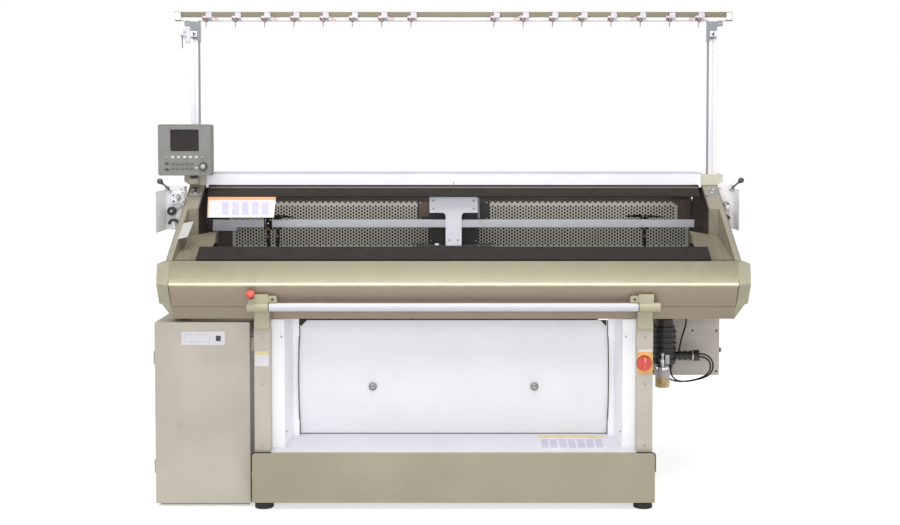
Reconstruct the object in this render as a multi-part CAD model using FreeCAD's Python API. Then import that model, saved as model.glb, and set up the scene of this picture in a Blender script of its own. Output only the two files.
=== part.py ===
"""Computerised flat knitting machine, built as one solid per real piece, in millimetres.

+X is to the operator's right, +Y to the back and +Z up. The origin is on the floor under
the middle of the machine's outer box. Side profiles are drawn as (depth, height), where depth
is measured back from the front plane through the nose of the beam.
"""
import FreeCAD, Part
import math
import os

Vector = FreeCAD.Vector

# ---------------------------------------------------------------- overall
SHEET = 2.5               # folded sheet metal
SEAT = 0.3                # clearance of a piece that slides or lies on another
PIN_FIT = 0.05            # radial clearance of a pin in its bore

# ---------------------------------------------------------------- stand
FRAME_INNER_X = 813.0     # inner face of a side frame
FRAME_WIDTH = 70.0
FRAME_FRONT = 50.0
FRAME_BACK = 760.0
FRAME_BOTTOM = 35.0
FRAME_TOP = 846.0
FRAME_BAR = 82.0          # width of its bars
FRAME_CORNER = 30.0
FOOT_RADIUS = 42.0
FOOT_PAD = 22.0
FOOT_NECK_RADIUS = 24.0
FOOT_INSET = 42.0         # axis of a foot, in from the frame's ends
CROSS_BEAM_DEPTH = 60.0
CROSS_BEAM_HEIGHT = 80.0
CROSS_BEAM_WALL = 4.0
CROSS_BEAM_Z = FRAME_BOTTOM + 45.0
KICK_HALF = FRAME_INNER_X + FRAME_WIDTH + 9.0
KICK_FRONT = 30.0
KICK_TOP = 256.0
KICK_CORNER = 15.0

# ---------------------------------------------------------------- beam and hood
BEAM_HALF = 1250.0
BEAM_WALL = 3.0
BEAM_TOP = 1111.0
BEAM_TOP_DEPTH = 20.0     # front edge of the top face
NOSE_Z = 1008.0
NOSE_RADIUS = 26.0
GROOVE_DEPTH = 62.0       # kink between the lower face and the lower strip
GROOVE_Z = 902.0
BEAM_BOTTOM_DEPTH = 84.0
BEAM_LIP = 40.0
CAP_LENGTH = 56.0         # moulded end cap, along X
CAP_TAPER = ((0.0, -13.0), (14.0, -13.0), (16.0, 4.0), (6.0, 14.0), (8.0, 74.0), (0.0, 74.0))
CHEEK_INNER_X = 1190.0
CHEEK_OUTER_X = 1264.0
CHEEK_LEDGE = 48.0        # width of the ledge that carries the deck housing
CHEEK_FRONT = 126.0       # front of its lower part, inside the beam cover
HOOD_TOP = 1419.5
HOOD_TOP_DEPTH = 500.0
DECK_REAR_Z = 1091.0
SCREEN_DEPTH = 720.0      # face of the perforated screen
SCREEN_TOP = 1340.0
SCREEN_SHEET = 2.0
SCREEN_BACKING = 18.0     # sound-absorbing tray behind the screen
SCREEN_HOLES_X = 1130.0   # outermost holes, each of which stands for a patch of small ones
SCREEN_HOLE_Z = 1125.0
SCREEN_HOLE = 13.0        # half a hole's diagonal
SCREEN_PITCH = 62.0
SCREEN_ROW_RISE = 48.0
SCREEN_ROWS = 5
TOP_BEAM_HALF = 1183.0
TOP_BEAM_DEPTH = 140.0
TOP_BEAM_Z = HOOD_TOP + 5.0
TOP_BEAM_HEIGHT = 61.0
LUG_GAP = 6.0             # from the pane to the lug of a hinge pin
LUG_WIDTH = 12.0
LUG_HALF = 8.0
LUG_BACK = 22.0
MAST_BASE_OUT = 27.0      # how far a mast base stands out over the cheek
MAST_BASE_CHAMFER = 17.0
MAST_BASE_HEIGHT = 50.0
MAST_BASE_INSET = 5.0
HOUSING_INNER_X = 1099.0
HOUSING_BACK = 345.0      # rear edge of a deck housing, under the yarn rails
HOUSING_SKIRT = 59.0
HOUSING_TOP_RUN = 53.0
HOUSING_TOP_FALL = 18.0
HOUSING_STEP_FALL = 25.0
HOUSING_STEP_RUN = 6.0
HOUSING_SINK = (27.0, 25.0, 6.0, 3.0)     # how far its ridges sink at the outer end

# ---------------------------------------------------------------- needle beds
THROAT_DEPTH = 520.0      # middle of the gap between the beds
THROAT_GAP = 10.0
BED_TOP = 1085.0
BED_SLOPE_RUN = 190.0     # horizontal run of a bed, at 45 degrees
BED_THICKNESS = 25.0
BED_HALF = 1130.0
BED_SLOTS = 36            # one slot stands for a bundle of needle tricks
BED_SLOT_WIDTH = 12.0
BED_SLOT_DEPTH = 4.0
GIRDER_HALF = CHEEK_INNER_X
GIRDER_THROAT = 40.0
GIRDER_THROAT_HALF = 1150.0
WEB_THICKNESS = 26.0
WEB_TOP = 930.0
WEB_DEPTH = 292.0         # front face of the front web
GUIDE_HEIGHT = 25.0
RACK_MOTOR_SIDE = 76.0    # racking motor, behind the rear web
RACK_MOTOR_HEIGHT = 72.0
RACK_MOTOR_X = 950.0
RACK_MOTOR_LENGTH = 120.0
RACK_SCREW_LENGTH = 80.0
RACK_SCREW_RADIUS = 8.0
RACK_BEARING = 22.0
RACK_Z = FRAME_TOP + 42.0
REAR_ROOM = 76.0          # from the racking motor to the rear cover
FRONT_REACH = 22.98       # the stop button stands this far in front of the nose
REAR_DEPTH = 2.0 * THROAT_DEPTH - WEB_DEPTH + RACK_MOTOR_SIDE + REAR_ROOM
FRONT_Y = -(REAR_DEPTH - FRONT_REACH) / 2.0   # y of the front plane, depth 0

# ---------------------------------------------------------------- carriage
CAM_HALF = 197.0
CAM_TOP = 1136.0
CAM_LIFT = 5.7            # height of the cam box over the bed surface
CAM_STEP = 20.0           # cam box edge, in front of the throat middle
SHOE_LIP = 6.0
BRIDGE_HEAD_HALF = 115.0
BRIDGE_HEAD_Z = 1293.0
BRIDGE_TOP = 1367.0
BRIDGE_STEM_HALF = 38.0
BRIDGE_PLATE = 18.0
BRIDGE_FRONT = 474.0
BRIDGE_REAR = 575.0
BRIDGE_FILLET = 17.0
BRIDGE_REAR_HALF = 122.0
BRIDGE_BOX_HALF = 175.0    # terminal box on top of the rear arm
BRIDGE_BOX_Z = 1246.0

# ---------------------------------------------------------------- yarn rails and carriers
RAIL_COUNT = 3
RAIL_PITCH = 16.0
RAIL_THICKNESS = 5.0
RAIL_Z = 1221.0
RAIL_HEIGHT = 36.0
RAIL_END = CHEEK_INNER_X - 34.0           # the rails end on brackets on the cheeks
RAIL_STIFFENER = 115.0    # length of the stiffener at the left end of the front rail
RAIL_STIFFENER_DROP = 17.0
CARRIER_THICKNESS = 13.0
CARRIER_WIDTH = 38.0
CARRIER_PLACES = (-890.0, -846.0, 922.0)
CARRIER_NOSE_PITCH = 10.0

# ---------------------------------------------------------------- belt drive
PULLEY_X = 1120.0
PULLEY_RADIUS = 33.0
PULLEY_Z = 1010.0
PULLEY_SHAFT = 8.0
BELT_WIDTH = 24.0
BELT_THICKNESS = 3.0
BELT_DEPTH = 246.0        # front edge of the belt
EAR_THICKNESS = 16.0
EAR_HALF = 35.0
MOTOR_SIDE = 76.0
MOTOR_LENGTH = 98.0

# ---------------------------------------------------------------- take-down
ROLLER_RADIUS = 32.0
ROLLER_HALF = 690.0
ROLLER_GAP = 1.0
ROLLER_Z = 800.0
ROLLER_SHAFT = 12.0
ROLLER_BORE_DEPTH = 20.0
COVER_HALF = 705.0
COVER_DEPTH = 235.0
COVER_BULGE = 45.0
COVER_TOP = 816.0
COVER_BOTTOM = 292.0
COVER_HOLE_X = 368.0
COVER_HOLE_Z = 519.0
COVER_HOLE_RADIUS = 16.5
PANEL_STEP_X = 757.0
PANEL_STEP_DEPTH = 100.0
TRAY_FRONT_Z = 252.0

# ---------------------------------------------------------------- handrail
RAIL_AXIS_DEPTH = 19.0
RAIL_AXIS_Z = 908.0
HANDRAIL_RADIUS = 18.0
HANDRAIL_SPIGOT = 11.0
HANDRAIL_HALF = 812.0
BARREL_RADIUS = 19.0
BRACKET_IN = 814.0
BRACKET_OUT = 907.0
BRACKET_ARM_OUT = 879.0
BRACKET_TOP = 965.0
BRACKET_FOOT = 808.0
STOP_X = -886.0
STOP_DEPTH = 8.0
STOP_Z = 952.0
STOP_CAP_RADIUS = 20.0
STOP_TRAVEL = 5.0
STOP_STEM_RADIUS = 8.0
STOP_NECK_RADIUS = 11.0
STOP_SEAT_RADIUS = 13.0
STOP_AXIS = Vector(-0.15, -0.60, 0.79)
BARREL_PLATE = 14.0       # thickness of a bracket's foot
BOSS_LOW = 928.0
BOSS_HIGH = 958.0
BOSS_REACH = 36.0         # how far the screw boss reaches in from the bracket
BOSS_SCREW_X = BRACKET_IN - 19.0
BOSS_SCREW_RADIUS = 5.5

# ---------------------------------------------------------------- window
PANE_HALF = CHEEK_INNER_X - 25.0
GRIP_HALF = PANE_HALF - 33.0              # half length of the lower rail
PANE_THICKNESS = 5.0
PANE_LENGTH = 547.0
PANE_FOOT = (BEAM_TOP_DEPTH + 6.0, BEAM_TOP + 6.2)        # outer lower edge of the pane
WINDOW_LOWER_RAIL = 88.0
WINDOW_UPPER_RAIL = 77.0
WINDOW_RAIL_THICKNESS = 4.0
WINDOW_HINGE = (HOOD_TOP_DEPTH - 6.0, HOOD_TOP)
WINDOW_PIN = 4.0
WINDOW_KNUCKLE = 6.0

# ---------------------------------------------------------------- masts and top rail
MAST_X = 1250.0
MAST_SIDE = 40.0
MAST_DEPTH = 560.0
TOP_RAIL_HALF = 1345.0
TOP_RAIL_Z = 2215.0
TOP_RAIL_HEIGHT = 43.0
TOP_RAIL_THICKNESS = 30.0
TOP_RAIL_DEPTH = 575.0
RAIL_CAP = 30.0
RAIL_LEDGE = 16.0         # height of the ledge along the rail's lower edge
RAIL_LEDGE_OUT = 5.0
BRACKET_REACH = 34.0      # top bracket of a mast, inward from its axis
BRACKET_OUTER = 26.0      # and outward from its face
BRACKET_LOW = 28.0
BRACKET_HIGH = 4.0
CLAMP_DROP = 78.0
CLAMP_SIDE = 32.0
CLAMP_HEIGHT = 26.0
TENSIONERS_PER_SIDE = 8
TENSIONER_FIRST = 200.0
TENSIONER_END = 158.0     # from the outermost tensioner to the rail's end
TENSIONER_PITCH = (TOP_RAIL_HALF - TENSIONER_END - TENSIONER_FIRST) / (TENSIONERS_PER_SIDE - 1)
TENSIONER_HALF = 22.0
TENSIONER_DISC = 12.0
TENSIONER_PIN = 3.0
TENSIONER_PIN_DROP = 34.0

# ---------------------------------------------------------------- controls
PANEL_X = -1260.5
PANEL_WIDTH = 247.0
PANEL_Z = 1474.0
PANEL_HEIGHT = 240.0
PANEL_FRONT = 380.0
PANEL_THICKNESS = 70.0
PANEL_CORNER = 10.0
KEY_COUNT = 7
KEY_PITCH = 27.7
KEY_RADIUS = 6.5
KEY_RISE = 86.0           # height of the key row over the housing's lower edge
KEY_FIRST = 41.0          # first key, in from the housing's left edge
EAR_INNER = 18.0          # rear ears of the housing, out from the arm's axis
EAR_OUTER = 34.0
EAR_ROOT = 26.0
EAR_TIP = 12.0
SCREEN_X = -1259.5
SCREEN_Z = 1639.0
SCREEN_WIDTH = 134.0
SCREEN_HEIGHT = 102.0
DIAL_X = -1172.6
DIAL_Z = 1517.0
DIAL_RADIUS = 17.0
ARM_X = -1240.0
ARM_DEPTH = 482.0
ARM_PIN = 10.0
TILT_Z = 1580.0
TILT_PIN = 6.0

# ---------------------------------------------------------------- cabinet and rear units
CABINET_OUT = 1331.0
CABINET_IN = 908.0
CABINET_FRONT = 78.0
CABINET_BACK = 640.0
CABINET_TOP = 831.0
CABINET_BOTTOM = 15.0
DOOR_THICKNESS = 20.0
HINGE_RADIUS = 5.0
HINGE_PIN = 2.5
BOX_INNER_X = 963.0
BOX_OUTER_X = 1305.0
BOX_FRONT = 600.0
BOX_BACK = 760.0
BOX_BOTTOM = 487.0
BOX_KNOB_RISE = 119.0


# ================================================================ helpers
def slab(x0, x1, d0, d1, z0, z1):
    """Box between two X values, two depths and two heights."""
    corner = Vector(min(x0, x1), FRONT_Y + min(d0, d1), min(z0, z1))
    return Part.makeBox(abs(x1 - x0), abs(d1 - d0), abs(z1 - z0), corner)


def rod(start, end, radius):
    """Round bar between two (x, depth, z) points."""
    first = Vector(start[0], FRONT_Y + start[1], start[2])
    last = Vector(end[0], FRONT_Y + end[1], end[2])
    along = last - first
    return Part.makeCylinder(radius, along.Length, first, along)


def turned(profile, centre, axis):
    """Solid turned from an (r, height) profile about an axis through an (x, depth, z) point."""
    wire = outline(profile, lambda r, z: Vector(r, 0, z))
    solid = Part.Face(wire).revolve(Vector(0, 0, 0), Vector(0, 0, 1), 360.0)
    turn = FreeCAD.Rotation(Vector(0, 0, 1), Vector(axis).normalize())
    place = Vector(centre[0], FRONT_Y + centre[1], centre[2])
    solid.Placement = FreeCAD.Placement(place, turn)
    return solid


def ball(centre, radius, axis=(0.0, 0.0, 1.0)):
    """Knob turned to six cone faces about an (x, depth, z) point."""
    profile = [(0.0, -radius)]
    for step in range(1, 6):
        angle = math.radians(36.0 * step - 90.0)
        profile.append((radius * math.cos(angle), radius * math.sin(angle)))
    return turned(profile + [(0.0, radius)], centre, Vector(*axis))


def outline(corners, place):
    """Closed wire through corners (a, b) or (a, b, radius); place maps (a, b) to space."""
    points = [place(corner[0], corner[1]) for corner in corners]
    radii = [corner[2] if len(corner) > 2 else 0.0 for corner in corners]
    entries, exits, middles = [], [], []
    count = len(points)
    for index, point in enumerate(points):
        before = (points[index - 1] - point).normalize()
        after = (points[(index + 1) % count] - point).normalize()
        radius = radii[index]
        if radius <= 0.0:
            entries.append(point)
            exits.append(point)
            middles.append(None)
            continue
        half = before.getAngle(after) / 2.0
        reach = radius / math.tan(half)
        bisector = (before + after).normalize()
        entries.append(point + before * reach)
        exits.append(point + after * reach)
        middles.append(point + bisector * (radius / math.sin(half) - radius))
    edges = []
    for index in range(count):
        if middles[index] is not None:
            edges.append(Part.Arc(entries[index], middles[index], exits[index]).toShape())
        following = entries[(index + 1) % count]
        if (following - exits[index]).Length > 1e-6:
            edges.append(Part.LineSegment(exits[index], following).toShape())
    return Part.Wire(edges)


def side_prism(corners, x0, x1):
    """Solid with a (depth, z) profile between two X values."""
    low = min(x0, x1)
    wire = outline(corners, lambda d, z: Vector(low, FRONT_Y + d, z))
    return Part.Face(wire).extrude(Vector(abs(x1 - x0), 0, 0))


def front_prism(corners, d0, d1):
    """Solid with an (x, z) profile between two depths."""
    wire = outline(corners, lambda x, z: Vector(x, FRONT_Y + d0, z))
    return Part.Face(wire).extrude(Vector(0, d1 - d0, 0))


def plan_prism(corners, z0, z1):
    """Solid with an (x, depth) profile between two heights."""
    wire = outline(corners, lambda x, d: Vector(x, FRONT_Y + d, z0))
    return Part.Face(wire).extrude(Vector(0, 0, z1 - z0))


def strip(path, wall):
    """Closed outline of a folded sheet: the open path and its offset to the left by wall."""
    count = len(path)
    normals = []
    for first, last in zip(path, path[1:]):
        length = math.hypot(last[0] - first[0], last[1] - first[1])
        normals.append(((first[1] - last[1]) / length, (last[0] - first[0]) / length))
    offset = []
    for index, corner in enumerate(path):
        left = normals[max(index - 1, 0)]
        right = normals[min(index, count - 2)]
        scale = wall / (1.0 + left[0] * right[0] + left[1] * right[1])
        place = (corner[0] + scale * (left[0] + right[0]), corner[1] + scale * (left[1] + right[1]))
        radius = corner[2] if len(corner) > 2 else 0.0
        if radius > 0.0:
            turn = left[0] * right[1] - left[1] * right[0]
            radius = max(radius - wall if turn > 0.0 else radius + wall, 0.2)
        offset.append((place[0], place[1], radius))
    return list(path) + offset[::-1]


def rounded_box(low, high, radius):
    """Four corners of a rectangle, each with the same radius."""
    return [(low[0], low[1], radius), (high[0], low[1], radius),
            (high[0], high[1], radius), (low[0], high[1], radius)]


def mirror_x(shape):
    """The same shape on the other side of the middle plane."""
    return shape.mirror(Vector(0, 0, 0), Vector(1, 0, 0))


def mirror_depth(corners, middle):
    """A (depth, z) profile turned about a vertical line at that depth."""
    return [(2.0 * middle - corner[0],) + tuple(corner[1:]) for corner in corners]


def fuse(shapes):
    """Join pieces of one solid."""
    whole = shapes[0].fuse(list(shapes[1:])) if len(shapes) > 1 else shapes[0]
    return whole.removeSplitter()


def group(shapes):
    """Separate solids kept together as one node."""
    return Part.makeCompound(shapes)


# ================================================================ stand
def side_frame():
    """Right side frame: a welded four-sided frame of box bars, open in the middle."""
    ring = rounded_box((FRAME_FRONT, FRAME_BOTTOM), (FRAME_BACK, FRAME_TOP), 3.0)
    hole = rounded_box((FRAME_FRONT + FRAME_BAR, FRAME_BOTTOM + FRAME_BAR),
                       (FRAME_BACK - FRAME_BAR, FRAME_TOP - FRAME_BAR), FRAME_CORNER)
    outer_x = FRAME_INNER_X + FRAME_WIDTH
    frame = side_prism(ring, FRAME_INNER_X, outer_x)
    frame = frame.cut(side_prism(hole, FRAME_INNER_X, outer_x))
    for side in (-1, 1):
        depth = THROAT_DEPTH + side * roller_offset()
        bore = rod((FRAME_INNER_X, depth, ROLLER_Z),
                   (FRAME_INNER_X + ROLLER_BORE_DEPTH, depth, ROLLER_Z), ROLLER_SHAFT + PIN_FIT)
        frame = frame.cut(bore)
    return frame


def roller_offset():
    """Distance of a take-down roller's axis from the throat plane."""
    return ROLLER_RADIUS + ROLLER_GAP / 2.0


def levelling_feet():
    """Four screw feet under the ends of the two side frames."""
    feet = []
    for x in (-(FRAME_INNER_X + FRAME_WIDTH / 2.0), FRAME_INNER_X + FRAME_WIDTH / 2.0):
        for depth in (FRAME_FRONT + FOOT_INSET, FRAME_BACK - FOOT_INSET):
            pad = rod((x, depth, 0.0), (x, depth, FOOT_PAD), FOOT_RADIUS)
            neck = rod((x, depth, FOOT_PAD), (x, depth, FRAME_BOTTOM), FOOT_NECK_RADIUS)
            feet.append(fuse([pad, neck]))
    return group(feet)


def lower_cross_beam():
    """Box tube that joins the two side frames at the back."""
    middle = FRAME_BACK - FRAME_BAR / 2.0
    d0 = middle - CROSS_BEAM_DEPTH / 2.0
    d1 = middle + CROSS_BEAM_DEPTH / 2.0
    z1 = CROSS_BEAM_Z + CROSS_BEAM_HEIGHT
    tube = slab(-FRAME_INNER_X, FRAME_INNER_X, d0, d1, CROSS_BEAM_Z, z1)
    bore = slab(-FRAME_INNER_X, FRAME_INNER_X, d0 + CROSS_BEAM_WALL, d1 - CROSS_BEAM_WALL,
                CROSS_BEAM_Z + CROSS_BEAM_WALL, z1 - CROSS_BEAM_WALL)
    return tube.cut(bore)


def kick_cover():
    """Low front cover: a folded tray with rounded upper corners, open to the back."""
    outer = [(-KICK_HALF, FRAME_BOTTOM), (KICK_HALF, FRAME_BOTTOM),
             (KICK_HALF, KICK_TOP, KICK_CORNER), (-KICK_HALF, KICK_TOP, KICK_CORNER)]
    low, high = FRAME_BOTTOM + SHEET, KICK_TOP - SHEET
    edge = KICK_HALF - SHEET
    inner = [(-edge, low), (edge, low),
             (edge, high, KICK_CORNER - SHEET), (-edge, high, KICK_CORNER - SHEET)]
    cover = front_prism(outer, KICK_FRONT, FRAME_FRONT)
    return cover.cut(front_prism(inner, KICK_FRONT + SHEET, FRAME_FRONT))


# ================================================================ beam and hood
def beam_path():
    """Front outline of the beam cover, from the back of its top lip to the back of its foot."""
    return [(BEAM_TOP_DEPTH + BEAM_LIP, BEAM_TOP), (BEAM_TOP_DEPTH, BEAM_TOP, 6.0),
            (0.0, NOSE_Z, NOSE_RADIUS), (GROOVE_DEPTH, GROOVE_Z, 5.0),
            (BEAM_BOTTOM_DEPTH, FRAME_TOP, 4.0), (BEAM_BOTTOM_DEPTH + BEAM_LIP, FRAME_TOP)]


def front_beam_cover():
    """Long folded cover of the front beam with its rounded nose."""
    return side_prism(strip(beam_path(), BEAM_WALL), -BEAM_HALF, BEAM_HALF)


def beam_end_caps():
    """Moulded caps that taper out from both ends of the beam cover."""
    caps = []
    back = BEAM_BOTTOM_DEPTH + BEAM_LIP
    inner = [(back, BEAM_TOP, 1.0), (BEAM_TOP_DEPTH, BEAM_TOP, 6.0), (0.0, NOSE_Z, NOSE_RADIUS),
             (GROOVE_DEPTH, GROOVE_Z, 5.0), (BEAM_BOTTOM_DEPTH, FRAME_TOP, 4.0),
             (back, FRAME_TOP, 1.0)]
    outer = [(d + shift, z + lift, radius)
             for (d, z, radius), (shift, lift) in zip(inner, CAP_TAPER)]
    for side in (-1, 1):
        at_beam = outline(inner, lambda d, z: Vector(side * BEAM_HALF, FRONT_Y + d, z))
        at_end = outline(outer, lambda d, z: Vector(side * (BEAM_HALF + CAP_LENGTH), FRONT_Y + d, z))
        caps.append(Part.makeLoft([at_beam, at_end], True, True))
    return group(caps)


def hood_height(depth):
    """Height of the sloped edge of the cheeks at a depth."""
    rise = (HOOD_TOP - BEAM_TOP) / (HOOD_TOP_DEPTH - BEAM_TOP_DEPTH)
    return BEAM_TOP + rise * (depth - BEAM_TOP_DEPTH)


def side_cheeks():
    """Cast side cheeks that close the hood; a ledge in each carries the deck housing's end."""
    beam_back = HOOD_TOP_DEPTH + TOP_BEAM_DEPTH
    back = SCREEN_DEPTH + SCREEN_BACKING
    rear = [(HOOD_TOP_DEPTH, HOOD_TOP), (HOOD_TOP_DEPTH, TOP_BEAM_Z), (beam_back, TOP_BEAM_Z, 8.0),
            (back, SCREEN_TOP, 12.0), (back, DECK_REAR_Z), (SCREEN_DEPTH - 2.0, DECK_REAR_Z),
            (SCREEN_DEPTH - 2.0, FRAME_TOP), (CHEEK_FRONT, FRAME_TOP)]
    lap = BEAM_TOP_DEPTH + 4.0
    rim = [(CHEEK_FRONT, BEAM_TOP), (lap, BEAM_TOP), (lap, hood_height(lap))]
    notch = HOUSING_BACK + 1.0
    ledge = [(CHEEK_FRONT, BEAM_TOP - 2.0), (notch, RAIL_Z - HOUSING_SKIRT - 3.0),
             (notch, hood_height(notch))]
    step_x = CHEEK_INNER_X + CHEEK_LEDGE
    right = fuse([side_prism(rim + rear, step_x, CHEEK_OUTER_X),
                  side_prism(ledge + rear, CHEEK_INNER_X, step_x)])
    return group([mirror_x(right), right])


def housing_path(sink):
    """(depth, z) line of a deck housing whose four ridges lie lower by the values of sink."""
    back, top = HOUSING_BACK, RAIL_Z - 2.0
    front = back - HOUSING_TOP_RUN
    ridge_z = top - HOUSING_TOP_FALL
    return [(back, top - HOUSING_SKIRT), (back, top - sink[0], 3.0), (front, ridge_z - sink[1], 3.0),
            (front - HOUSING_STEP_RUN, ridge_z - HOUSING_STEP_FALL - sink[2], 3.0),
            (CHEEK_FRONT - 6.0, BEAM_TOP + 19.0 - sink[3], 4.0),
            (BEAM_TOP_DEPTH + BEAM_LIP + 4.0, BEAM_TOP + 2.0)]


def deck_housings():
    """Ridged sheet housings over the ends of the needle beds, lower at their outer ends."""
    ends = ((HOUSING_INNER_X, (0.0, 0.0, 0.0, 0.0)), (CHEEK_INNER_X + CHEEK_LEDGE, HOUSING_SINK))
    wires = []
    for x, sink in ends:
        corners = strip(housing_path(sink), SHEET)
        wires.append(outline(corners, lambda d, z, x=x: Vector(x, FRONT_Y + d, z)))
    right = Part.makeLoft(wires, True, True)
    return group([mirror_x(right), right])


def rear_beam_cover():
    """Plain folded cover of the back of the machine, with closed ends."""
    path = [(REAR_DEPTH - 50.0, FRAME_TOP), (REAR_DEPTH, FRAME_TOP, 4.0),
            (REAR_DEPTH, DECK_REAR_Z, 14.0), (SCREEN_DEPTH + SCREEN_SHEET, DECK_REAR_Z)]
    cover = side_prism(strip(path, SHEET), -BEAM_HALF, BEAM_HALF)
    end = [(SCREEN_DEPTH + 22.0, FRAME_TOP), (REAR_DEPTH - 1.0, FRAME_TOP),
           (REAR_DEPTH - 1.0, DECK_REAR_Z - 1.0, 14.0), (SCREEN_DEPTH + 22.0, DECK_REAR_Z - 1.0)]
    right = side_prism(end, BEAM_HALF - SHEET, BEAM_HALF)
    return fuse([cover, mirror_x(right), right])


def perforated_screen():
    """Rear screen: a perforated sheet with a folded top, and the tray of foam behind it."""
    beam_back = HOOD_TOP_DEPTH + TOP_BEAM_DEPTH
    path = [(beam_back, TOP_BEAM_Z + 30.0), (beam_back, TOP_BEAM_Z + 2.0, 2.0),
            (SCREEN_DEPTH, SCREEN_TOP, 6.0), (SCREEN_DEPTH, DECK_REAR_Z)]
    sheet = side_prism(strip(path, SCREEN_SHEET), -TOP_BEAM_HALF, TOP_BEAM_HALF)
    half, across = SCREEN_HOLE, SCREEN_HOLES_X
    cutters = []
    for row in range(SCREEN_ROWS):
        z = SCREEN_HOLE_Z + row * SCREEN_ROW_RISE
        shift = SCREEN_PITCH / 2.0 if row % 2 else 0.0
        for column in range(int((2.0 * across - shift) / SCREEN_PITCH) + 1):
            x = -across + shift + column * SCREEN_PITCH
            corners = [(x - half, z), (x, z - half), (x + half, z), (x, z + half)]
            cutters.append(front_prism(corners, SCREEN_DEPTH - 4.0, SCREEN_DEPTH + 4.0))
    face = SCREEN_DEPTH + SCREEN_SHEET
    tray = slab(-TOP_BEAM_HALF, TOP_BEAM_HALF, face, SCREEN_DEPTH + SCREEN_BACKING,
                DECK_REAR_Z + SHEET + SEAT, SCREEN_TOP - SCREEN_BACKING)
    return group([sheet.cut(Part.makeCompound(cutters)), tray])


def top_beam():
    """White top beam over the hood, with the two lugs that carry the window's hinge pins."""
    profile = [(HOOD_TOP_DEPTH, TOP_BEAM_Z, 2.0), (HOOD_TOP_DEPTH + TOP_BEAM_DEPTH, TOP_BEAM_Z, 2.0),
               (HOOD_TOP_DEPTH + TOP_BEAM_DEPTH, TOP_BEAM_Z + TOP_BEAM_HEIGHT, 6.0),
               (HOOD_TOP_DEPTH, TOP_BEAM_Z + TOP_BEAM_HEIGHT, 6.0)]
    beam = side_prism(profile, -TOP_BEAM_HALF, TOP_BEAM_HALF)
    depth, z = WINDOW_HINGE
    for side in (-1, 1):
        near = side * (PANE_HALF + LUG_GAP)
        far = near + side * LUG_WIDTH
        low, high = z - LUG_HALF, TOP_BEAM_Z + LUG_HALF / 2.0
        lug = [(depth - LUG_HALF, low, 6.0), (depth + LUG_BACK, low, 4.0),
               (depth + LUG_BACK, high), (depth - LUG_HALF, high, 4.0)]
        bore = rod((near, depth, z), (far, depth, z), WINDOW_PIN + PIN_FIT)
        beam = beam.fuse(side_prism(lug, near, far)).cut(bore)
    return beam.removeSplitter()


def mast_base_profile():
    """(x, z) outline of the right mast base: it sits on the cheek and meets the top beam."""
    return [(TOP_BEAM_HALF, TOP_BEAM_Z), (CHEEK_OUTER_X, TOP_BEAM_Z),
            (CHEEK_OUTER_X + MAST_BASE_OUT, TOP_BEAM_Z + MAST_BASE_CHAMFER, 3.0),
            (CHEEK_OUTER_X + MAST_BASE_OUT, TOP_BEAM_Z + MAST_BASE_HEIGHT, 3.0),
            (TOP_BEAM_HALF, TOP_BEAM_Z + MAST_BASE_HEIGHT)]


def mast_bases():
    """Beige blocks on the cheeks that carry the masts; the left one holds the panel's arm."""
    front = HOOD_TOP_DEPTH + MAST_BASE_INSET
    back = HOOD_TOP_DEPTH + TOP_BEAM_DEPTH - MAST_BASE_INSET
    right = front_prism(mast_base_profile(), front, back)
    left = mirror_x(right)
    half = 22.0
    z0, z1 = arm_lug_heights()
    lug = plan_prism([(ARM_X - half, ARM_DEPTH - half, 12.0), (ARM_X + half, ARM_DEPTH - half, 12.0),
                      (ARM_X + half, HOOD_TOP_DEPTH + 6.0), (ARM_X - half, HOOD_TOP_DEPTH + 6.0)],
                     z0, z1)
    bore = rod((ARM_X, ARM_DEPTH, z0), (ARM_X, ARM_DEPTH, z1), ARM_PIN + PIN_FIT)
    return group([fuse([left, lug]).cut(bore), right])


def arm_lug_heights():
    """Lower and upper face of the lug that carries the control panel's arm."""
    high = TOP_BEAM_Z + MAST_BASE_HEIGHT - 18.0
    return high - 24.0, high


# ================================================================ needle beds
def bed_profile():
    """(depth, z) section of the front needle bed, sloping down to the front at 45 degrees."""
    edge = THROAT_DEPTH - THROAT_GAP / 2.0
    drop = BED_THICKNESS * math.sqrt(2.0)
    shift = BED_THICKNESS / math.sqrt(2.0)
    low = (edge - BED_SLOPE_RUN, BED_TOP - BED_SLOPE_RUN)
    return [(edge, BED_TOP), (edge, BED_TOP - drop), (low[0] + shift, low[1] - shift), low]


def bed_slots():
    """Cutters for the needle tricks, spread along the front bed."""
    edge = THROAT_DEPTH - THROAT_GAP / 2.0
    deep = BED_SLOT_DEPTH * math.sqrt(2.0)
    run = BED_SLOPE_RUN - 30.0
    section = [(edge + 1.0, BED_TOP + 2.0), (edge + 1.0, BED_TOP - deep + 1.0),
               (edge - run, BED_TOP - run - deep), (edge - run, BED_TOP - run + 1.0)]
    pitch = 2.0 * (BED_HALF - 30.0) / BED_SLOTS
    cutters = []
    for index in range(BED_SLOTS):
        x = -BED_HALF + 30.0 + pitch * (index + 0.5)
        cutters.append(side_prism(section, x - BED_SLOT_WIDTH / 2.0, x + BED_SLOT_WIDTH / 2.0))
    return Part.makeCompound(cutters)


def needle_bed():
    """Front needle bed with its tricks; the rear bed is its mirror image."""
    return side_prism(bed_profile(), -BED_HALF, BED_HALF).cut(bed_slots())


def rear_bed():
    """Rear needle bed: the front bed turned about the throat plane."""
    return needle_bed().mirror(Vector(0, FRONT_Y + THROAT_DEPTH, 0), Vector(0, 1, 0))


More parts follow.
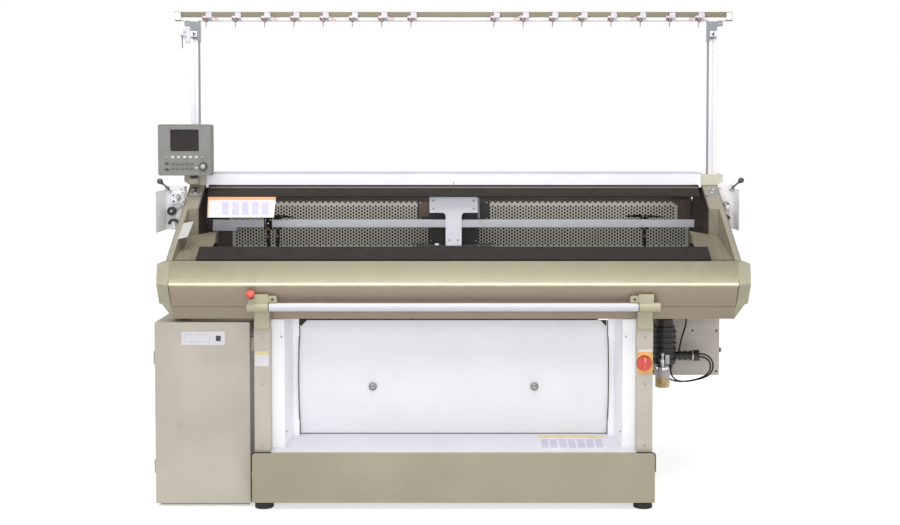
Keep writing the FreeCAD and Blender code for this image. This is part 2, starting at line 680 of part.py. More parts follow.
def bed_girder():
    """Cast girder under both beds, with the fabric throat, guide webs and belt ears."""
    bottom_edge = bed_profile()[1]
    seat = bottom_edge[1] - bottom_edge[0]          # seat line: z = depth + seat
    throat_edge = THROAT_DEPTH - GIRDER_THROAT / 2.0
    web_back = WEB_DEPTH + WEB_THICKNESS
    half = [(WEB_DEPTH, FRAME_TOP), (WEB_DEPTH, WEB_TOP), (web_back, WEB_TOP),
            (web_back, web_back + seat), (throat_edge, throat_edge + seat)]
    whole = half + mirror_depth(half, THROAT_DEPTH)[::-1]
    girder = side_prism(whole, -GIRDER_HALF, GIRDER_HALF)
    throat = slab(-GIRDER_THROAT_HALF, GIRDER_THROAT_HALF, throat_edge,
                  throat_edge + GIRDER_THROAT, FRAME_TOP, BED_TOP)
    girder = girder.cut(throat)
    for side in (-1, 1):
        x = side * PULLEY_X
        ear = front_prism([(x - EAR_HALF, FRAME_TOP), (x + EAR_HALF, FRAME_TOP),
                           (x + EAR_HALF, PULLEY_Z + EAR_HALF, 20.0),
                           (x - EAR_HALF, PULLEY_Z + EAR_HALF, 20.0)],
                          WEB_DEPTH - EAR_THICKNESS, WEB_DEPTH)
        bore = rod((x, WEB_DEPTH - EAR_THICKNESS, PULLEY_Z), (x, WEB_DEPTH, PULLEY_Z),
                   PULLEY_SHAFT + PIN_FIT)
        girder = girder.fuse(ear).cut(bore)
    return girder.removeSplitter()


def carriage_guides():
    """Two square guide rails on the webs of the girder."""
    front = slab(-GIRDER_HALF, GIRDER_HALF, WEB_DEPTH, WEB_DEPTH + WEB_THICKNESS,
                 WEB_TOP, WEB_TOP + GUIDE_HEIGHT)
    back = 2.0 * THROAT_DEPTH - WEB_DEPTH
    rear = slab(-GIRDER_HALF, GIRDER_HALF, back - WEB_THICKNESS, back,
                WEB_TOP, WEB_TOP + GUIDE_HEIGHT)
    return group([front, rear])


# ================================================================ carriage
def cam_profile():
    """(depth, z) section of the front cam box with the shoe that runs on the guide rail."""
    edge = THROAT_DEPTH - THROAT_GAP / 2.0
    surface = BED_TOP - edge + CAM_LIFT             # underside line: z = depth + surface
    near = THROAT_DEPTH - CAM_STEP
    foot = 372.0
    corner = foot + foot + surface                  # front face line: depth + z = corner
    shoe_low = WEB_TOP + GUIDE_HEIGHT + SEAT
    shoe_front = WEB_DEPTH - 1.0 - SHOE_LIP
    shoe_top = 1003.4
    edge_depth = corner - shoe_top + CAM_TOP - shoe_top
    return [(near, near + surface), (near, CAM_TOP, 3.0), (edge_depth, CAM_TOP, 6.0),
            (corner - shoe_top, shoe_top), (shoe_front, shoe_top, 4.0),
            (shoe_front, shoe_low - 18.0), (WEB_DEPTH - 1.0, shoe_low - 18.0),
            (WEB_DEPTH - 1.0, shoe_low), (corner - shoe_low, shoe_low), (foot, foot + surface)]


def front_cam_box():
    """Front cam box: cam housing, guide shoe and the clamp that grips the belt's upper run."""
    box = side_prism(cam_profile(), -CAM_HALF, CAM_HALF)
    run_z = PULLEY_Z + PULLEY_RADIUS
    belt_back = BELT_DEPTH + BELT_WIDTH
    clamp = [(BELT_DEPTH - 8.0, run_z - 12.0, 2.0), (belt_back + 4.0, run_z - 12.0),
             (belt_back + 4.0, 985.0), (belt_back + 24.0, 985.0),
             (belt_back + 24.0, run_z + 18.0, 3.0), (BELT_DEPTH - 8.0, run_z + 18.0, 3.0)]
    slot = [(BELT_DEPTH - 1.0, run_z - 0.7), (belt_back + 1.0, run_z - 0.7),
            (belt_back + 1.0, run_z + BELT_THICKNESS + 0.7),
            (BELT_DEPTH - 1.0, run_z + BELT_THICKNESS + 0.7)]
    arm = side_prism(clamp, -60.0, 60.0).cut(side_prism(slot, -60.0, 60.0))
    return fuse([box, arm])


def rear_cam_box():
    """Rear cam box: the mirror image of the front one, without a belt clamp."""
    return side_prism(mirror_depth(cam_profile(), THROAT_DEPTH), -CAM_HALF, CAM_HALF)


def carriage_bridge():
    """Cast bridge: T-shaped front arm, top plate over the rails, rear arm and terminal box."""
    stem, head = BRIDGE_STEM_HALF, BRIDGE_HEAD_HALF
    front = [(-stem, CAM_TOP), (stem, CAM_TOP), (stem, BRIDGE_HEAD_Z, BRIDGE_FILLET),
             (head, BRIDGE_HEAD_Z, 2.0), (head, BRIDGE_TOP, 4.0),
             (-head, BRIDGE_TOP, 4.0), (-head, BRIDGE_HEAD_Z, 2.0),
             (-stem, BRIDGE_HEAD_Z, BRIDGE_FILLET)]
    arm = front_prism(front, BRIDGE_FRONT, BRIDGE_FRONT + BRIDGE_PLATE)
    plate = slab(-head, head, BRIDGE_FRONT + BRIDGE_PLATE, BRIDGE_REAR + BRIDGE_PLATE,
                 BRIDGE_TOP - BRIDGE_PLATE, BRIDGE_TOP)
    half, box = BRIDGE_REAR_HALF, BRIDGE_BOX_HALF
    box_top = BRIDGE_TOP - BRIDGE_PLATE
    back = [(-half, CAM_TOP), (half, CAM_TOP), (half, BRIDGE_BOX_Z), (box, BRIDGE_BOX_Z, 5.0),
            (box, box_top, 5.0), (-box, box_top, 5.0), (-box, BRIDGE_BOX_Z, 5.0),
            (-half, BRIDGE_BOX_Z)]
    rear = front_prism(back, BRIDGE_REAR, BRIDGE_REAR + BRIDGE_PLATE)
    return fuse([arm, plate, rear])


# ================================================================ yarn rails and carriers
def rail_depth(index):
    """Middle of a yarn rail, counted from the front."""
    return THROAT_DEPTH + (index - (RAIL_COUNT - 1) / 2.0) * RAIL_PITCH


def yarn_rails():
    """Flat yarn rails on end brackets; the front one has a stiffener at its left end."""
    right = slab(RAIL_END - 2.0, CHEEK_INNER_X, rail_depth(0) - 8.0,
                 rail_depth(RAIL_COUNT - 1) + 8.0, RAIL_Z + 4.0, RAIL_Z + RAIL_HEIGHT - 4.0)
    rails = [mirror_x(right), right]
    for index in range(RAIL_COUNT):
        d0 = rail_depth(index) - RAIL_THICKNESS / 2.0
        rail = slab(-RAIL_END, RAIL_END, d0, d0 + RAIL_THICKNESS, RAIL_Z, RAIL_Z + RAIL_HEIGHT)
        if index == 0:
            stiffener = slab(-RAIL_END, -RAIL_END + RAIL_STIFFENER, d0, d0 + RAIL_THICKNESS,
                             RAIL_Z - RAIL_STIFFENER_DROP, RAIL_Z + 1.0)
            rail = fuse([rail, stiffener])
        rails.append(rail)
    return fuse(rails)


def yarn_carrier(index):
    """Carrier that hooks over its rail and reaches down to the throat with a thin feeder."""
    middle = rail_depth(index)
    x = CARRIER_PLACES[index]
    half, thick = CARRIER_WIDTH / 2.0, CARRIER_THICKNESS / 2.0
    low, high = RAIL_Z - 12.0, RAIL_Z + RAIL_HEIGHT + 9.0
    hook = slab(x - half, x + half, middle - thick, middle + thick, low, high)
    gap = RAIL_THICKNESS / 2.0 + SEAT
    slot = slab(x - half, x + half, middle - gap, middle + gap,
                RAIL_Z - SEAT, RAIL_Z + RAIL_HEIGHT + SEAT)
    mouth = slab(x - half, x + half, middle - gap, middle + gap, low, RAIL_Z)
    nose = THROAT_DEPTH + (index - (RAIL_COUNT - 1) / 2.0) * CARRIER_NOSE_PITCH
    foot = BED_TOP + 16.0
    inner = middle - thick if nose > middle else middle + gap
    stalk_edges = (inner, inner + (thick - gap))
    blade_low = min(nose - 2.0, stalk_edges[0])
    blade_high = max(nose + 2.0, stalk_edges[1])
    stalk = slab(x - 9.0, x + 9.0, stalk_edges[0], stalk_edges[1], CAM_TOP + 16.0, low + 1.0)
    elbow = slab(x - 9.0, x + 9.0, blade_low, blade_high, CAM_TOP + 12.0, CAM_TOP + 20.0)
    tip = front_prism([(x - 9.0, CAM_TOP + 14.0), (x + 9.0, CAM_TOP + 14.0), (x + 3.0, foot, 1.0),
                       (x - 3.0, foot, 1.0)], nose - 2.0, nose + 2.0)
    body = hook.cut(slot).cut(mouth)
    return fuse([body, stalk, elbow, tip])


# ================================================================ belt drive
def drive_belt():
    """Toothed belt: one closed loop round both pulleys."""
    def loop(radius, d0, d1):
        ends = [(-PULLEY_X - radius, PULLEY_Z - radius, radius * 0.9999),
                (PULLEY_X + radius, PULLEY_Z - radius, radius * 0.9999),
                (PULLEY_X + radius, PULLEY_Z + radius, radius * 0.9999),
                (-PULLEY_X - radius, PULLEY_Z + radius, radius * 0.9999)]
        return front_prism(ends, d0, d1)
    outer = loop(PULLEY_RADIUS + BELT_THICKNESS, BELT_DEPTH, BELT_DEPTH + BELT_WIDTH)
    return outer.cut(loop(PULLEY_RADIUS, BELT_DEPTH, BELT_DEPTH + BELT_WIDTH))


def belt_pulley(side):
    """Belt pulley with its shaft, which runs in the girder's ear."""
    x = side * PULLEY_X
    wheel = rod((x, BELT_DEPTH, PULLEY_Z), (x, BELT_DEPTH + BELT_WIDTH, PULLEY_Z),
                PULLEY_RADIUS - SEAT)
    hub = rod((x, BELT_DEPTH, PULLEY_Z),
              (x, WEB_DEPTH - EAR_THICKNESS - SEAT, PULLEY_Z), PULLEY_SHAFT * 2.0)
    shaft = rod((x, BELT_DEPTH - 6.0, PULLEY_Z), (x, WEB_DEPTH, PULLEY_Z), PULLEY_SHAFT)
    holes = []
    for step in range(5):
        angle = math.radians(72.0 * step)
        cx, cz = x + 22.0 * math.cos(angle), PULLEY_Z + 22.0 * math.sin(angle)
        holes.append(rod((cx, BELT_DEPTH, cz), (cx, BELT_DEPTH + BELT_WIDTH, cz), 4.0))
    return fuse([wheel, hub, shaft]).cut(Part.makeCompound(holes))


def drive_motor():
    """Servo motor behind the left ear, with a square flange and a rear cap."""
    x, d = -PULLEY_X, WEB_DEPTH
    half = MOTOR_SIDE / 2.0
    flange = front_prism(rounded_box((x - half, PULLEY_Z - half), (x + half, PULLEY_Z + half), 6.0),
                         d, d + 10.0)
    can = rod((x, d + 10.0, PULLEY_Z), (x, d + MOTOR_LENGTH - 20.0, PULLEY_Z), half - 3.0)
    cap = front_prism(rounded_box((x - half + 6.0, PULLEY_Z - half + 6.0),
                                  (x + half - 6.0, PULLEY_Z + half - 6.0), 8.0),
                      d + MOTOR_LENGTH - 20.0, d + MOTOR_LENGTH)
    return fuse([flange, can, cap])


def racking_motor():
    """Racking motor on the rear web, with the end of its screw."""
    back = 2.0 * THROAT_DEPTH - WEB_DEPTH
    middle = (back + RACK_MOTOR_SIDE / 2.0, RACK_Z)
    half = RACK_MOTOR_HEIGHT / 2.0
    front_x = RACK_MOTOR_X + RACK_MOTOR_LENGTH
    bearing_x = front_x + RACK_SCREW_LENGTH
    body = side_prism(rounded_box((back, RACK_Z - half), (back + RACK_MOTOR_SIDE, RACK_Z + half), 8.0),
                      RACK_MOTOR_X, front_x)
    screw = rod((front_x,) + middle, (bearing_x,) + middle, RACK_SCREW_RADIUS)
    low, high = RACK_Z - RACK_MOTOR_HEIGHT / 4.0, RACK_Z + RACK_MOTOR_HEIGHT / 4.0
    bearing = side_prism(rounded_box((back, low), (middle[0] + RACK_SCREW_RADIUS + 12.0, high), 6.0),
                         bearing_x, bearing_x + RACK_BEARING)
    return fuse([body, screw, bearing])


# ================================================================ take-down
def take_down_roller(side):
    """Take-down roller with its shaft ends in the side frames; side -1 is the front one."""
    depth = THROAT_DEPTH + side * roller_offset()
    barrel = rod((-ROLLER_HALF, depth, ROLLER_Z), (ROLLER_HALF, depth, ROLLER_Z), ROLLER_RADIUS)
    reach = FRAME_INNER_X + ROLLER_BORE_DEPTH - SEAT
    shaft = rod((-reach, depth, ROLLER_Z), (reach, depth, ROLLER_Z), ROLLER_SHAFT)
    return fuse([barrel, shaft])


def take_down_motor():
    """Gear motor of the take-down, on the inner face of the left side frame."""
    depth, z = 400.0, ROLLER_Z - 2.0
    gearbox = side_prism(rounded_box((depth - 40.0, z - 40.0), (depth + 40.0, z + 40.0), 8.0),
                         -FRAME_INNER_X, -FRAME_INNER_X + 36.0)
    can = rod((-FRAME_INNER_X + 36.0, depth, z), (-FRAME_INNER_X + 130.0, depth, z), 33.0)
    return fuse([gearbox, can])


def take_down_cover():
    """Large curved cover in front of the take-down, with chamfered corners and two holes."""
    bulge = (COVER_DEPTH - COVER_BULGE, (COVER_TOP + COVER_BOTTOM) / 2.0, 760.0)
    path = [(COVER_DEPTH, COVER_TOP), bulge, (COVER_DEPTH, COVER_BOTTOM)]
    sheet = side_prism(strip(path, SHEET), -COVER_HALF, COVER_HALF)
    chamfer = 34.0
    for side in (-1, 1):
        corner = front_prism([(side * (COVER_HALF + 1.0), COVER_TOP - chamfer),
                              (side * (COVER_HALF + 1.0), COVER_TOP + 1.0),
                              (side * (COVER_HALF - chamfer), COVER_TOP + 1.0)],
                             COVER_DEPTH - COVER_BULGE - 5.0, COVER_DEPTH + 5.0)
        hole = rod((side * COVER_HOLE_X, COVER_DEPTH - COVER_BULGE - 5.0, COVER_HOLE_Z),
                   (side * COVER_HOLE_X, COVER_DEPTH + 5.0, COVER_HOLE_Z), COVER_HOLE_RADIUS)
        sheet = sheet.cut(corner).cut(hole)
    return sheet


def fabric_tray():
    """Tray below the cover: it slopes down to the kick cover and ends in a low back wall."""
    path = [(COVER_DEPTH + 90.0, COVER_BOTTOM), (COVER_DEPTH - 4.0, COVER_BOTTOM, 4.0),
            (FRAME_FRONT, TRAY_FRONT_Z)]
    return side_prism(strip(path, SHEET), -FRAME_INNER_X, FRAME_INNER_X)


def side_panels():
    """White stepped panels between the side frames and the cover."""
    path = [(COVER_HALF + 0.5, COVER_DEPTH - 22.0), (PANEL_STEP_X - 24.0, COVER_DEPTH - 22.0, 5.0),
            (PANEL_STEP_X, PANEL_STEP_DEPTH, 6.0), (FRAME_INNER_X, PANEL_STEP_DEPTH)]
    right = plan_prism(strip(path, SHEET), TRAY_FRONT_Z - 5.0, FRAME_TOP - 4.0)
    under = [(FRAME_FRONT - 5.0, TRAY_FRONT_Z - 20.0), (FRAME_FRONT - 5.0, TRAY_FRONT_Z - 1.0),
             (FRAME_FRONT, TRAY_FRONT_Z), (COVER_DEPTH - 4.0, COVER_BOTTOM, 4.0),
             (COVER_DEPTH + 90.0, COVER_BOTTOM), (COVER_DEPTH + 90.0, TRAY_FRONT_Z - 20.0)]
    right = right.cut(side_prism(under, COVER_HALF - 10.0, FRAME_INNER_X + 1.0))
    return group([mirror_x(right), right])


# ================================================================ handrail and stop button
def handrail():
    """Start and stop bar: a tube whose thinner ends turn in the brackets' barrels."""
    place = (RAIL_AXIS_DEPTH, RAIL_AXIS_Z)
    tube = rod((-HANDRAIL_HALF,) + place, (HANDRAIL_HALF,) + place, HANDRAIL_RADIUS)
    spigot = HANDRAIL_HALF + 38.0
    return fuse([tube, rod((-spigot,) + place, (spigot,) + place, HANDRAIL_SPIGOT)])


def stop_point(offset):
    """Point on the stop button's axis, measured up from its seat."""
    axis = Vector(STOP_AXIS).normalize()
    return (STOP_X + axis.x * offset, STOP_DEPTH + axis.y * offset, STOP_Z + axis.z * offset)


def handrail_brackets():
    """Cast brackets on the beam: barrel, screw boss and arm; the left one holds the button."""
    arm_back = FRAME_FRONT
    slope = (GROOVE_DEPTH - 0.0) / (NOSE_Z - GROOVE_Z)
    top_depth = (NOSE_Z - BRACKET_TOP) * slope
    body = [(9.0, BRACKET_TOP, 4.0), (top_depth, BRACKET_TOP), (GROOVE_DEPTH, GROOVE_Z, 5.0),
            (BEAM_BOTTOM_DEPTH, FRAME_TOP), (arm_back, FRAME_TOP), (arm_back, BRACKET_FOOT),
            (arm_back - BARREL_PLATE, BRACKET_FOOT, 4.0),
            (arm_back - BARREL_PLATE, GROOVE_Z - 9.0, 10.0), (12.0, GROOVE_Z + 6.0)]
    arm = side_prism(body, BRACKET_IN, BRACKET_ARM_OUT)
    axis = (RAIL_AXIS_DEPTH, RAIL_AXIS_Z)
    barrel = rod((BRACKET_IN,) + axis, (BRACKET_OUT,) + axis, BARREL_RADIUS)
    tab = [(15.0, BOSS_LOW, 3.0), ((NOSE_Z - BOSS_LOW) * slope, BOSS_LOW),
           ((NOSE_Z - BOSS_HIGH) * slope, BOSS_HIGH), (15.0, BOSS_HIGH, 3.0)]
    boss = side_prism(tab, BRACKET_IN - BOSS_REACH, BRACKET_IN + 1.0)
    screw_z = (BOSS_LOW + BOSS_HIGH) / 2.0
    screw = rod((BOSS_SCREW_X, 10.0, screw_z), (BOSS_SCREW_X, 24.0, screw_z), BOSS_SCREW_RADIUS)
    bore = rod((BRACKET_IN,) + axis, (HANDRAIL_HALF + 40.0,) + axis, HANDRAIL_SPIGOT + PIN_FIT)
    right = fuse([arm, barrel, boss]).cut(bore).cut(screw)
    left = mirror_x(right)
    seat = rod(stop_point(-14.0), stop_point(0.0), STOP_SEAT_RADIUS)
    ledge_top = STOP_Z - 6.0
    ledge = side_prism([(5.0, RAIL_AXIS_Z, 2.0), (52.0, RAIL_AXIS_Z), (36.0, ledge_top),
                        (8.0, ledge_top, 4.0)], -BRACKET_OUT + 6.0, -BRACKET_ARM_OUT + 1.0)
    hole = rod(stop_point(-9.0), stop_point(1.0), STOP_STEM_RADIUS + PIN_FIT)
    neck_room = rod(stop_point(0.0), stop_point(STOP_TRAVEL + 8.0), STOP_NECK_RADIUS + 1.0)
    return group([fuse([left, ledge, seat]).cut(hole).cut(neck_room), right])


def stop_button():
    """Emergency-stop mushroom: stem, neck and domed cap, turned about its tilted axis."""
    foot = STOP_TRAVEL + 1.0
    rim = STOP_TRAVEL + 14.0
    cap = STOP_CAP_RADIUS
    section = [(0.0, -3.0), (STOP_STEM_RADIUS, -3.0), (STOP_STEM_RADIUS, foot),
               (STOP_NECK_RADIUS, foot + 1.5), (STOP_NECK_RADIUS, rim - 1.0), (cap - 1.0, rim),
               (cap, rim + 1.5), (cap, rim + 6.0), (cap - 6.0, rim + 11.5), (0.0, rim + 14.0)]
    return turned(section, stop_point(0.0), STOP_AXIS)


# ================================================================ window
def window_point(along, out):
    """(depth, z) of a point up the window's slope and out from the pane's outer face."""
    run = HOOD_TOP_DEPTH - BEAM_TOP_DEPTH
    rise = HOOD_TOP - BEAM_TOP
    length = math.hypot(run, rise)
    c, s = run / length, rise / length
    return (PANE_FOOT[0] + along * c - out * s, PANE_FOOT[1] + along * s + out * c)


def window_pane():
    """Clear sloped pane of the front window."""
    corners = [window_point(0.0, 0.0), window_point(PANE_LENGTH, 0.0),
               window_point(PANE_LENGTH, -PANE_THICKNESS), window_point(0.0, -PANE_THICKNESS)]
    return side_prism(corners, -PANE_HALF, PANE_HALF)


def window_rails():
    """Black rails along the pane's lower and upper edge; the upper one has the hinge pins."""
    thick = WINDOW_RAIL_THICKNESS
    foot = window_point(-2.0, -PANE_THICKNESS)
    lower = [window_point(0.0, 0.0), window_point(WINDOW_LOWER_RAIL, 0.0),
             window_point(WINDOW_LOWER_RAIL, thick) + (1.5,), window_point(-2.0, thick) + (2.0,),
             foot, window_point(0.0, -PANE_THICKNESS)]
    grip = side_prism(lower, -GRIP_HALF, GRIP_HALF)
    start = PANE_LENGTH - WINDOW_UPPER_RAIL
    end = PANE_LENGTH + 8.0
    upper = [window_point(start, 0.0), window_point(end, 0.0),
             window_point(end, thick), window_point(start, thick) + (1.5,)]
    place = WINDOW_HINGE
    near = PANE_HALF - 30.0
    far = PANE_HALF + LUG_GAP + LUG_WIDTH - 1.0
    ends = []
    for side in (-1, 1):
        ends.append(rod((side * near,) + place, (side * PANE_HALF,) + place, WINDOW_KNUCKLE))
        ends.append(rod((side * near,) + place, (side * far,) + place, WINDOW_PIN))
    top = fuse([side_prism(upper, -PANE_HALF, PANE_HALF)] + ends)
    return group([grip, top])


# ================================================================ masts and top rail
def mast_section(x, middle):
    """Plan outline of an extruded mast: a square with a groove in each side."""
    half, groove, deep = MAST_SIDE / 2.0, 4.0, 5.0
    quarter = [(half, -groove), (half - deep, -groove), (half - deep, groove), (half, groove),
               (half, half, 2.0)]
    corners = []
    for step in range(4):
        c, s = round(math.cos(math.pi * step / 2.0)), round(math.sin(math.pi * step / 2.0))
        for corner in quarter:
            place = (x + corner[0] * c - corner[1] * s, middle + corner[0] * s + corner[1] * c)
            corners.append(place + tuple(corner[2:]))
    return corners


def masts():
    """Two extruded masts on the mast bases, each with its folded top bracket and clamp."""
    middle = MAST_DEPTH + MAST_SIDE / 2.0
    foot = TOP_BEAM_Z + MAST_BASE_HEIGHT
    low, high = TOP_RAIL_Z - BRACKET_LOW, TOP_RAIL_Z - BRACKET_HIGH
    clamp_z = TOP_RAIL_Z - CLAMP_DROP
    whole = []
    for side in (-1, 1):
        mast = plan_prism(mast_section(side * MAST_X, middle), foot, TOP_RAIL_Z)
        face = MAST_X + MAST_SIDE / 2.0
        inner, outer = side * (MAST_X - BRACKET_REACH), side * (face + BRACKET_OUTER)
        plate = [(inner, low, 2.0), (outer, low, 2.0), (outer, high, 2.0), (inner, high, 2.0)]
        front = front_prism(plate, MAST_DEPTH - 4.0, MAST_DEPTH)
        arm = slab(side * (face + 0.5), outer, MAST_DEPTH - 1.0, MAST_DEPTH + BRACKET_OUTER,
                   (low + high) / 2.0, high)
        half = CLAMP_SIDE / 2.0
        clamp = slab(side * (MAST_X - half), side * (MAST_X + half), MAST_DEPTH - 12.0, MAST_DEPTH,
                     clamp_z, clamp_z + CLAMP_HEIGHT)
        web = slab(side * (MAST_X - 9.0), side * (MAST_X + 9.0), MAST_DEPTH - 4.0, MAST_DEPTH,
                   clamp_z + CLAMP_HEIGHT - 1.0, low + 1.0)
        hole_z = clamp_z + CLAMP_HEIGHT / 2.0
        hole = rod((side * MAST_X, MAST_DEPTH - 12.0, hole_z),
                   (side * MAST_X, MAST_DEPTH - 3.0, hole_z), 5.0)
        whole.append(fuse([mast, front, arm, web, clamp]).cut(hole))
    return group(whole)


def top_rail():
    """Top rail with a ledge along its lower edge and a cap at each end."""
    d0, d1 = TOP_RAIL_DEPTH, TOP_RAIL_DEPTH + TOP_RAIL_THICKNESS
    z0, z1 = TOP_RAIL_Z, TOP_RAIL_Z + TOP_RAIL_HEIGHT
    ledge = z0 + RAIL_LEDGE
    front = d0 - RAIL_LEDGE_OUT
    joint = TOP_RAIL_HALF - RAIL_CAP
    profile = [(front, z0, 1.0), (d1, z0, 1.0), (d1, z1, 2.0), (d0, z1, 2.0),
               (d0, ledge), (front, ledge, 1.0)]
    rail = side_prism(profile, -joint, joint)
    cap = side_prism(rounded_box((front - 2.0, z0), (d1 + 2.0, z1), 4.0), joint, TOP_RAIL_HALF)
    return group([mirror_x(cap), rail, cap])


def tensioner_places():
    """X of the sixteen top tensioners, eight to each side."""
    right = [TENSIONER_FIRST + TENSIONER_PITCH * index for index in range(TENSIONERS_PER_SIDE)]
    return [-x for x in right[::-1]] + right


def top_tensioner(x):
    """One yarn tensioner: clip block on the rail, post, disc in front and pin below."""
    front = TOP_RAIL_DEPTH - RAIL_LEDGE_OUT
    half = TENSIONER_HALF
    z = TOP_RAIL_Z + RAIL_LEDGE + 6.0
    low, high, bevel = z - 9.0, z + 16.0, 5.0
    block = front_prism([(x - half, low), (x + half, low), (x + half, high - bevel),
                         (x + half - bevel, high), (x - half + bevel, high), (x - half, high - bevel)],
                        front - 16.0, front + RAIL_LEDGE_OUT)
    step = slab(x - half - 1.0, x + half + 1.0, front, front + RAIL_LEDGE_OUT + 1.0,
                low - 1.0, TOP_RAIL_Z + RAIL_LEDGE)
    disc = rod((x, front - 22.0, z + 3.0), (x, front - 15.0, z + 3.0), TENSIONER_DISC)
    pin_place = (x - 6.0, front - 8.0)
    pin = rod(pin_place + (z - 8.0,), pin_place + (TOP_RAIL_Z - TENSIONER_PIN_DROP,), TENSIONER_PIN)
    return fuse([block.cut(step), disc, pin])


def top_tensioners():
    """All sixteen top tensioners."""
    return group([top_tensioner(x) for x in tensioner_places()])


# ================================================================ control panel
def panel_housing():
    """Moulded panel housing with a sunk screen window, raised keys, rear ears and tilt pin."""
    x0, x1 = PANEL_X - PANEL_WIDTH / 2.0, PANEL_X + PANEL_WIDTH / 2.0
    z0, z1 = PANEL_Z, PANEL_Z + PANEL_HEIGHT
    back = PANEL_FRONT + PANEL_THICKNESS
    shell = front_prism(rounded_box((x0, z0), (x1, z1), PANEL_CORNER), PANEL_FRONT, back)
    window = front_prism(rounded_box((SCREEN_X - SCREEN_WIDTH / 2.0, SCREEN_Z - SCREEN_HEIGHT / 2.0),
                                     (SCREEN_X + SCREEN_WIDTH / 2.0, SCREEN_Z + SCREEN_HEIGHT / 2.0), 3.0),
                         PANEL_FRONT, PANEL_FRONT + 6.0)
    shaft = rod((DIAL_X, PANEL_FRONT, DIAL_Z), (DIAL_X, PANEL_FRONT + 14.0, DIAL_Z), 4.0 + PIN_FIT)
    parts = [shell]
    ear = [(back - 1.0, TILT_Z - EAR_ROOT), (ARM_DEPTH + EAR_TIP, TILT_Z - EAR_TIP, 8.0),
           (ARM_DEPTH + EAR_TIP, TILT_Z + EAR_TIP, 8.0), (back - 1.0, TILT_Z + EAR_ROOT)]
    parts.append(side_prism(ear, ARM_X - EAR_OUTER, ARM_X - EAR_INNER))
    parts.append(side_prism(ear, ARM_X + EAR_INNER, ARM_X + EAR_OUTER))
    parts.append(rod((ARM_X - EAR_OUTER, ARM_DEPTH, TILT_Z), (ARM_X + EAR_OUTER, ARM_DEPTH, TILT_Z),
                     TILT_PIN))
    for index in range(KEY_COUNT):
        place = x0 + KEY_FIRST + KEY_PITCH * index
        z = PANEL_Z + KEY_RISE
        parts.append(rod((place, PANEL_FRONT - 1.5, z), (place, PANEL_FRONT + 2.0, z), KEY_RADIUS))
    return fuse(parts).cut(window).cut(shaft)


def panel_screen():
    """Flat screen glass in the panel's window."""
    inset = SEAT
    low = (SCREEN_X - SCREEN_WIDTH / 2.0 + inset, SCREEN_Z - SCREEN_HEIGHT / 2.0 + inset)
    high = (SCREEN_X + SCREEN_WIDTH / 2.0 - inset, SCREEN_Z + SCREEN_HEIGHT / 2.0 - inset)
    return front_prism(rounded_box(low, high, 2.7), PANEL_FRONT + 3.0, PANEL_FRONT + 6.0)


def panel_dial():
    """Turning dial at the panel's right lower corner."""
    knob = rod((DIAL_X, PANEL_FRONT - 12.0, DIAL_Z), (DIAL_X, PANEL_FRONT - SEAT, DIAL_Z), DIAL_RADIUS)
    dimple = rod((DIAL_X + 9.0, PANEL_FRONT - 13.0, DIAL_Z), (DIAL_X + 9.0, PANEL_FRONT - 10.5, DIAL_Z), 4.0)
    shaft = rod((DIAL_X, PANEL_FRONT - 1.0, DIAL_Z), (DIAL_X, PANEL_FRONT + 13.0, DIAL_Z), 4.0)
    return fuse([knob, shaft]).cut(dimple)


def panel_arm():
    """Swivel arm: pin in the mast base's lug, collar and upright bar with the tilt bore."""
    z0, z1 = arm_lug_heights()
    pin = rod((ARM_X, ARM_DEPTH, z0), (ARM_X, ARM_DEPTH, z1 + 3.0), ARM_PIN)
    collar = rod((ARM_X, ARM_DEPTH, z1 + SEAT), (ARM_X, ARM_DEPTH, z1 + 12.0), 17.0)
    bar = side_prism([(ARM_DEPTH - 12.0, z1 + 10.0), (ARM_DEPTH + 12.0, z1 + 10.0),
                      (ARM_DEPTH + 12.0, TILT_Z + 14.0, 11.0), (ARM_DEPTH - 12.0, TILT_Z + 14.0, 11.0)],
                     ARM_X - 15.0, ARM_X + 15.0)
    bore = rod((ARM_X - 16.0, ARM_DEPTH, TILT_Z), (ARM_X + 16.0, ARM_DEPTH, TILT_Z), TILT_PIN + PIN_FIT)
    return fuse([pin, collar, bar]).cut(bore)


# ================================================================ side yarn stands
STAND_PIVOT_X = CHEEK_OUTER_X + 62.0
STAND_PIVOT_Z = 1406.0
STAND_TOP = STAND_PIVOT_Z + 20.0
LEVER_SHAFT = 4.0
LEVER_PIN = 5.0
LEVER_HUB = 9.0
KNOB_X = STAND_PIVOT_X + 49.0
KNOB_Z = STAND_PIVOT_Z + 41.0
KNOB_RADIUS = 15.0
LEFT_STAND = {"depth": 382.0, "flange": 200.0, "outer": 1350.0, "low": 1220.0}
RIGHT_STAND = {"depth": 500.0, "flange": 393.0, "outer": 1342.0, "low": 1214.0}
LEFT_DISC = (-1290.0, 1372.0)
DISC_RADIUS = 17.0
LEFT_ROLLER = (-1318.0, 1309.0)
GUIDE_RADIUS = 20.0
RIGHT_DISC = (1302.0, 1330.0)
LEFT_ARCH = (-1312.0, 1246.0)
RIGHT_ARCH = (1304.0, 1262.0)


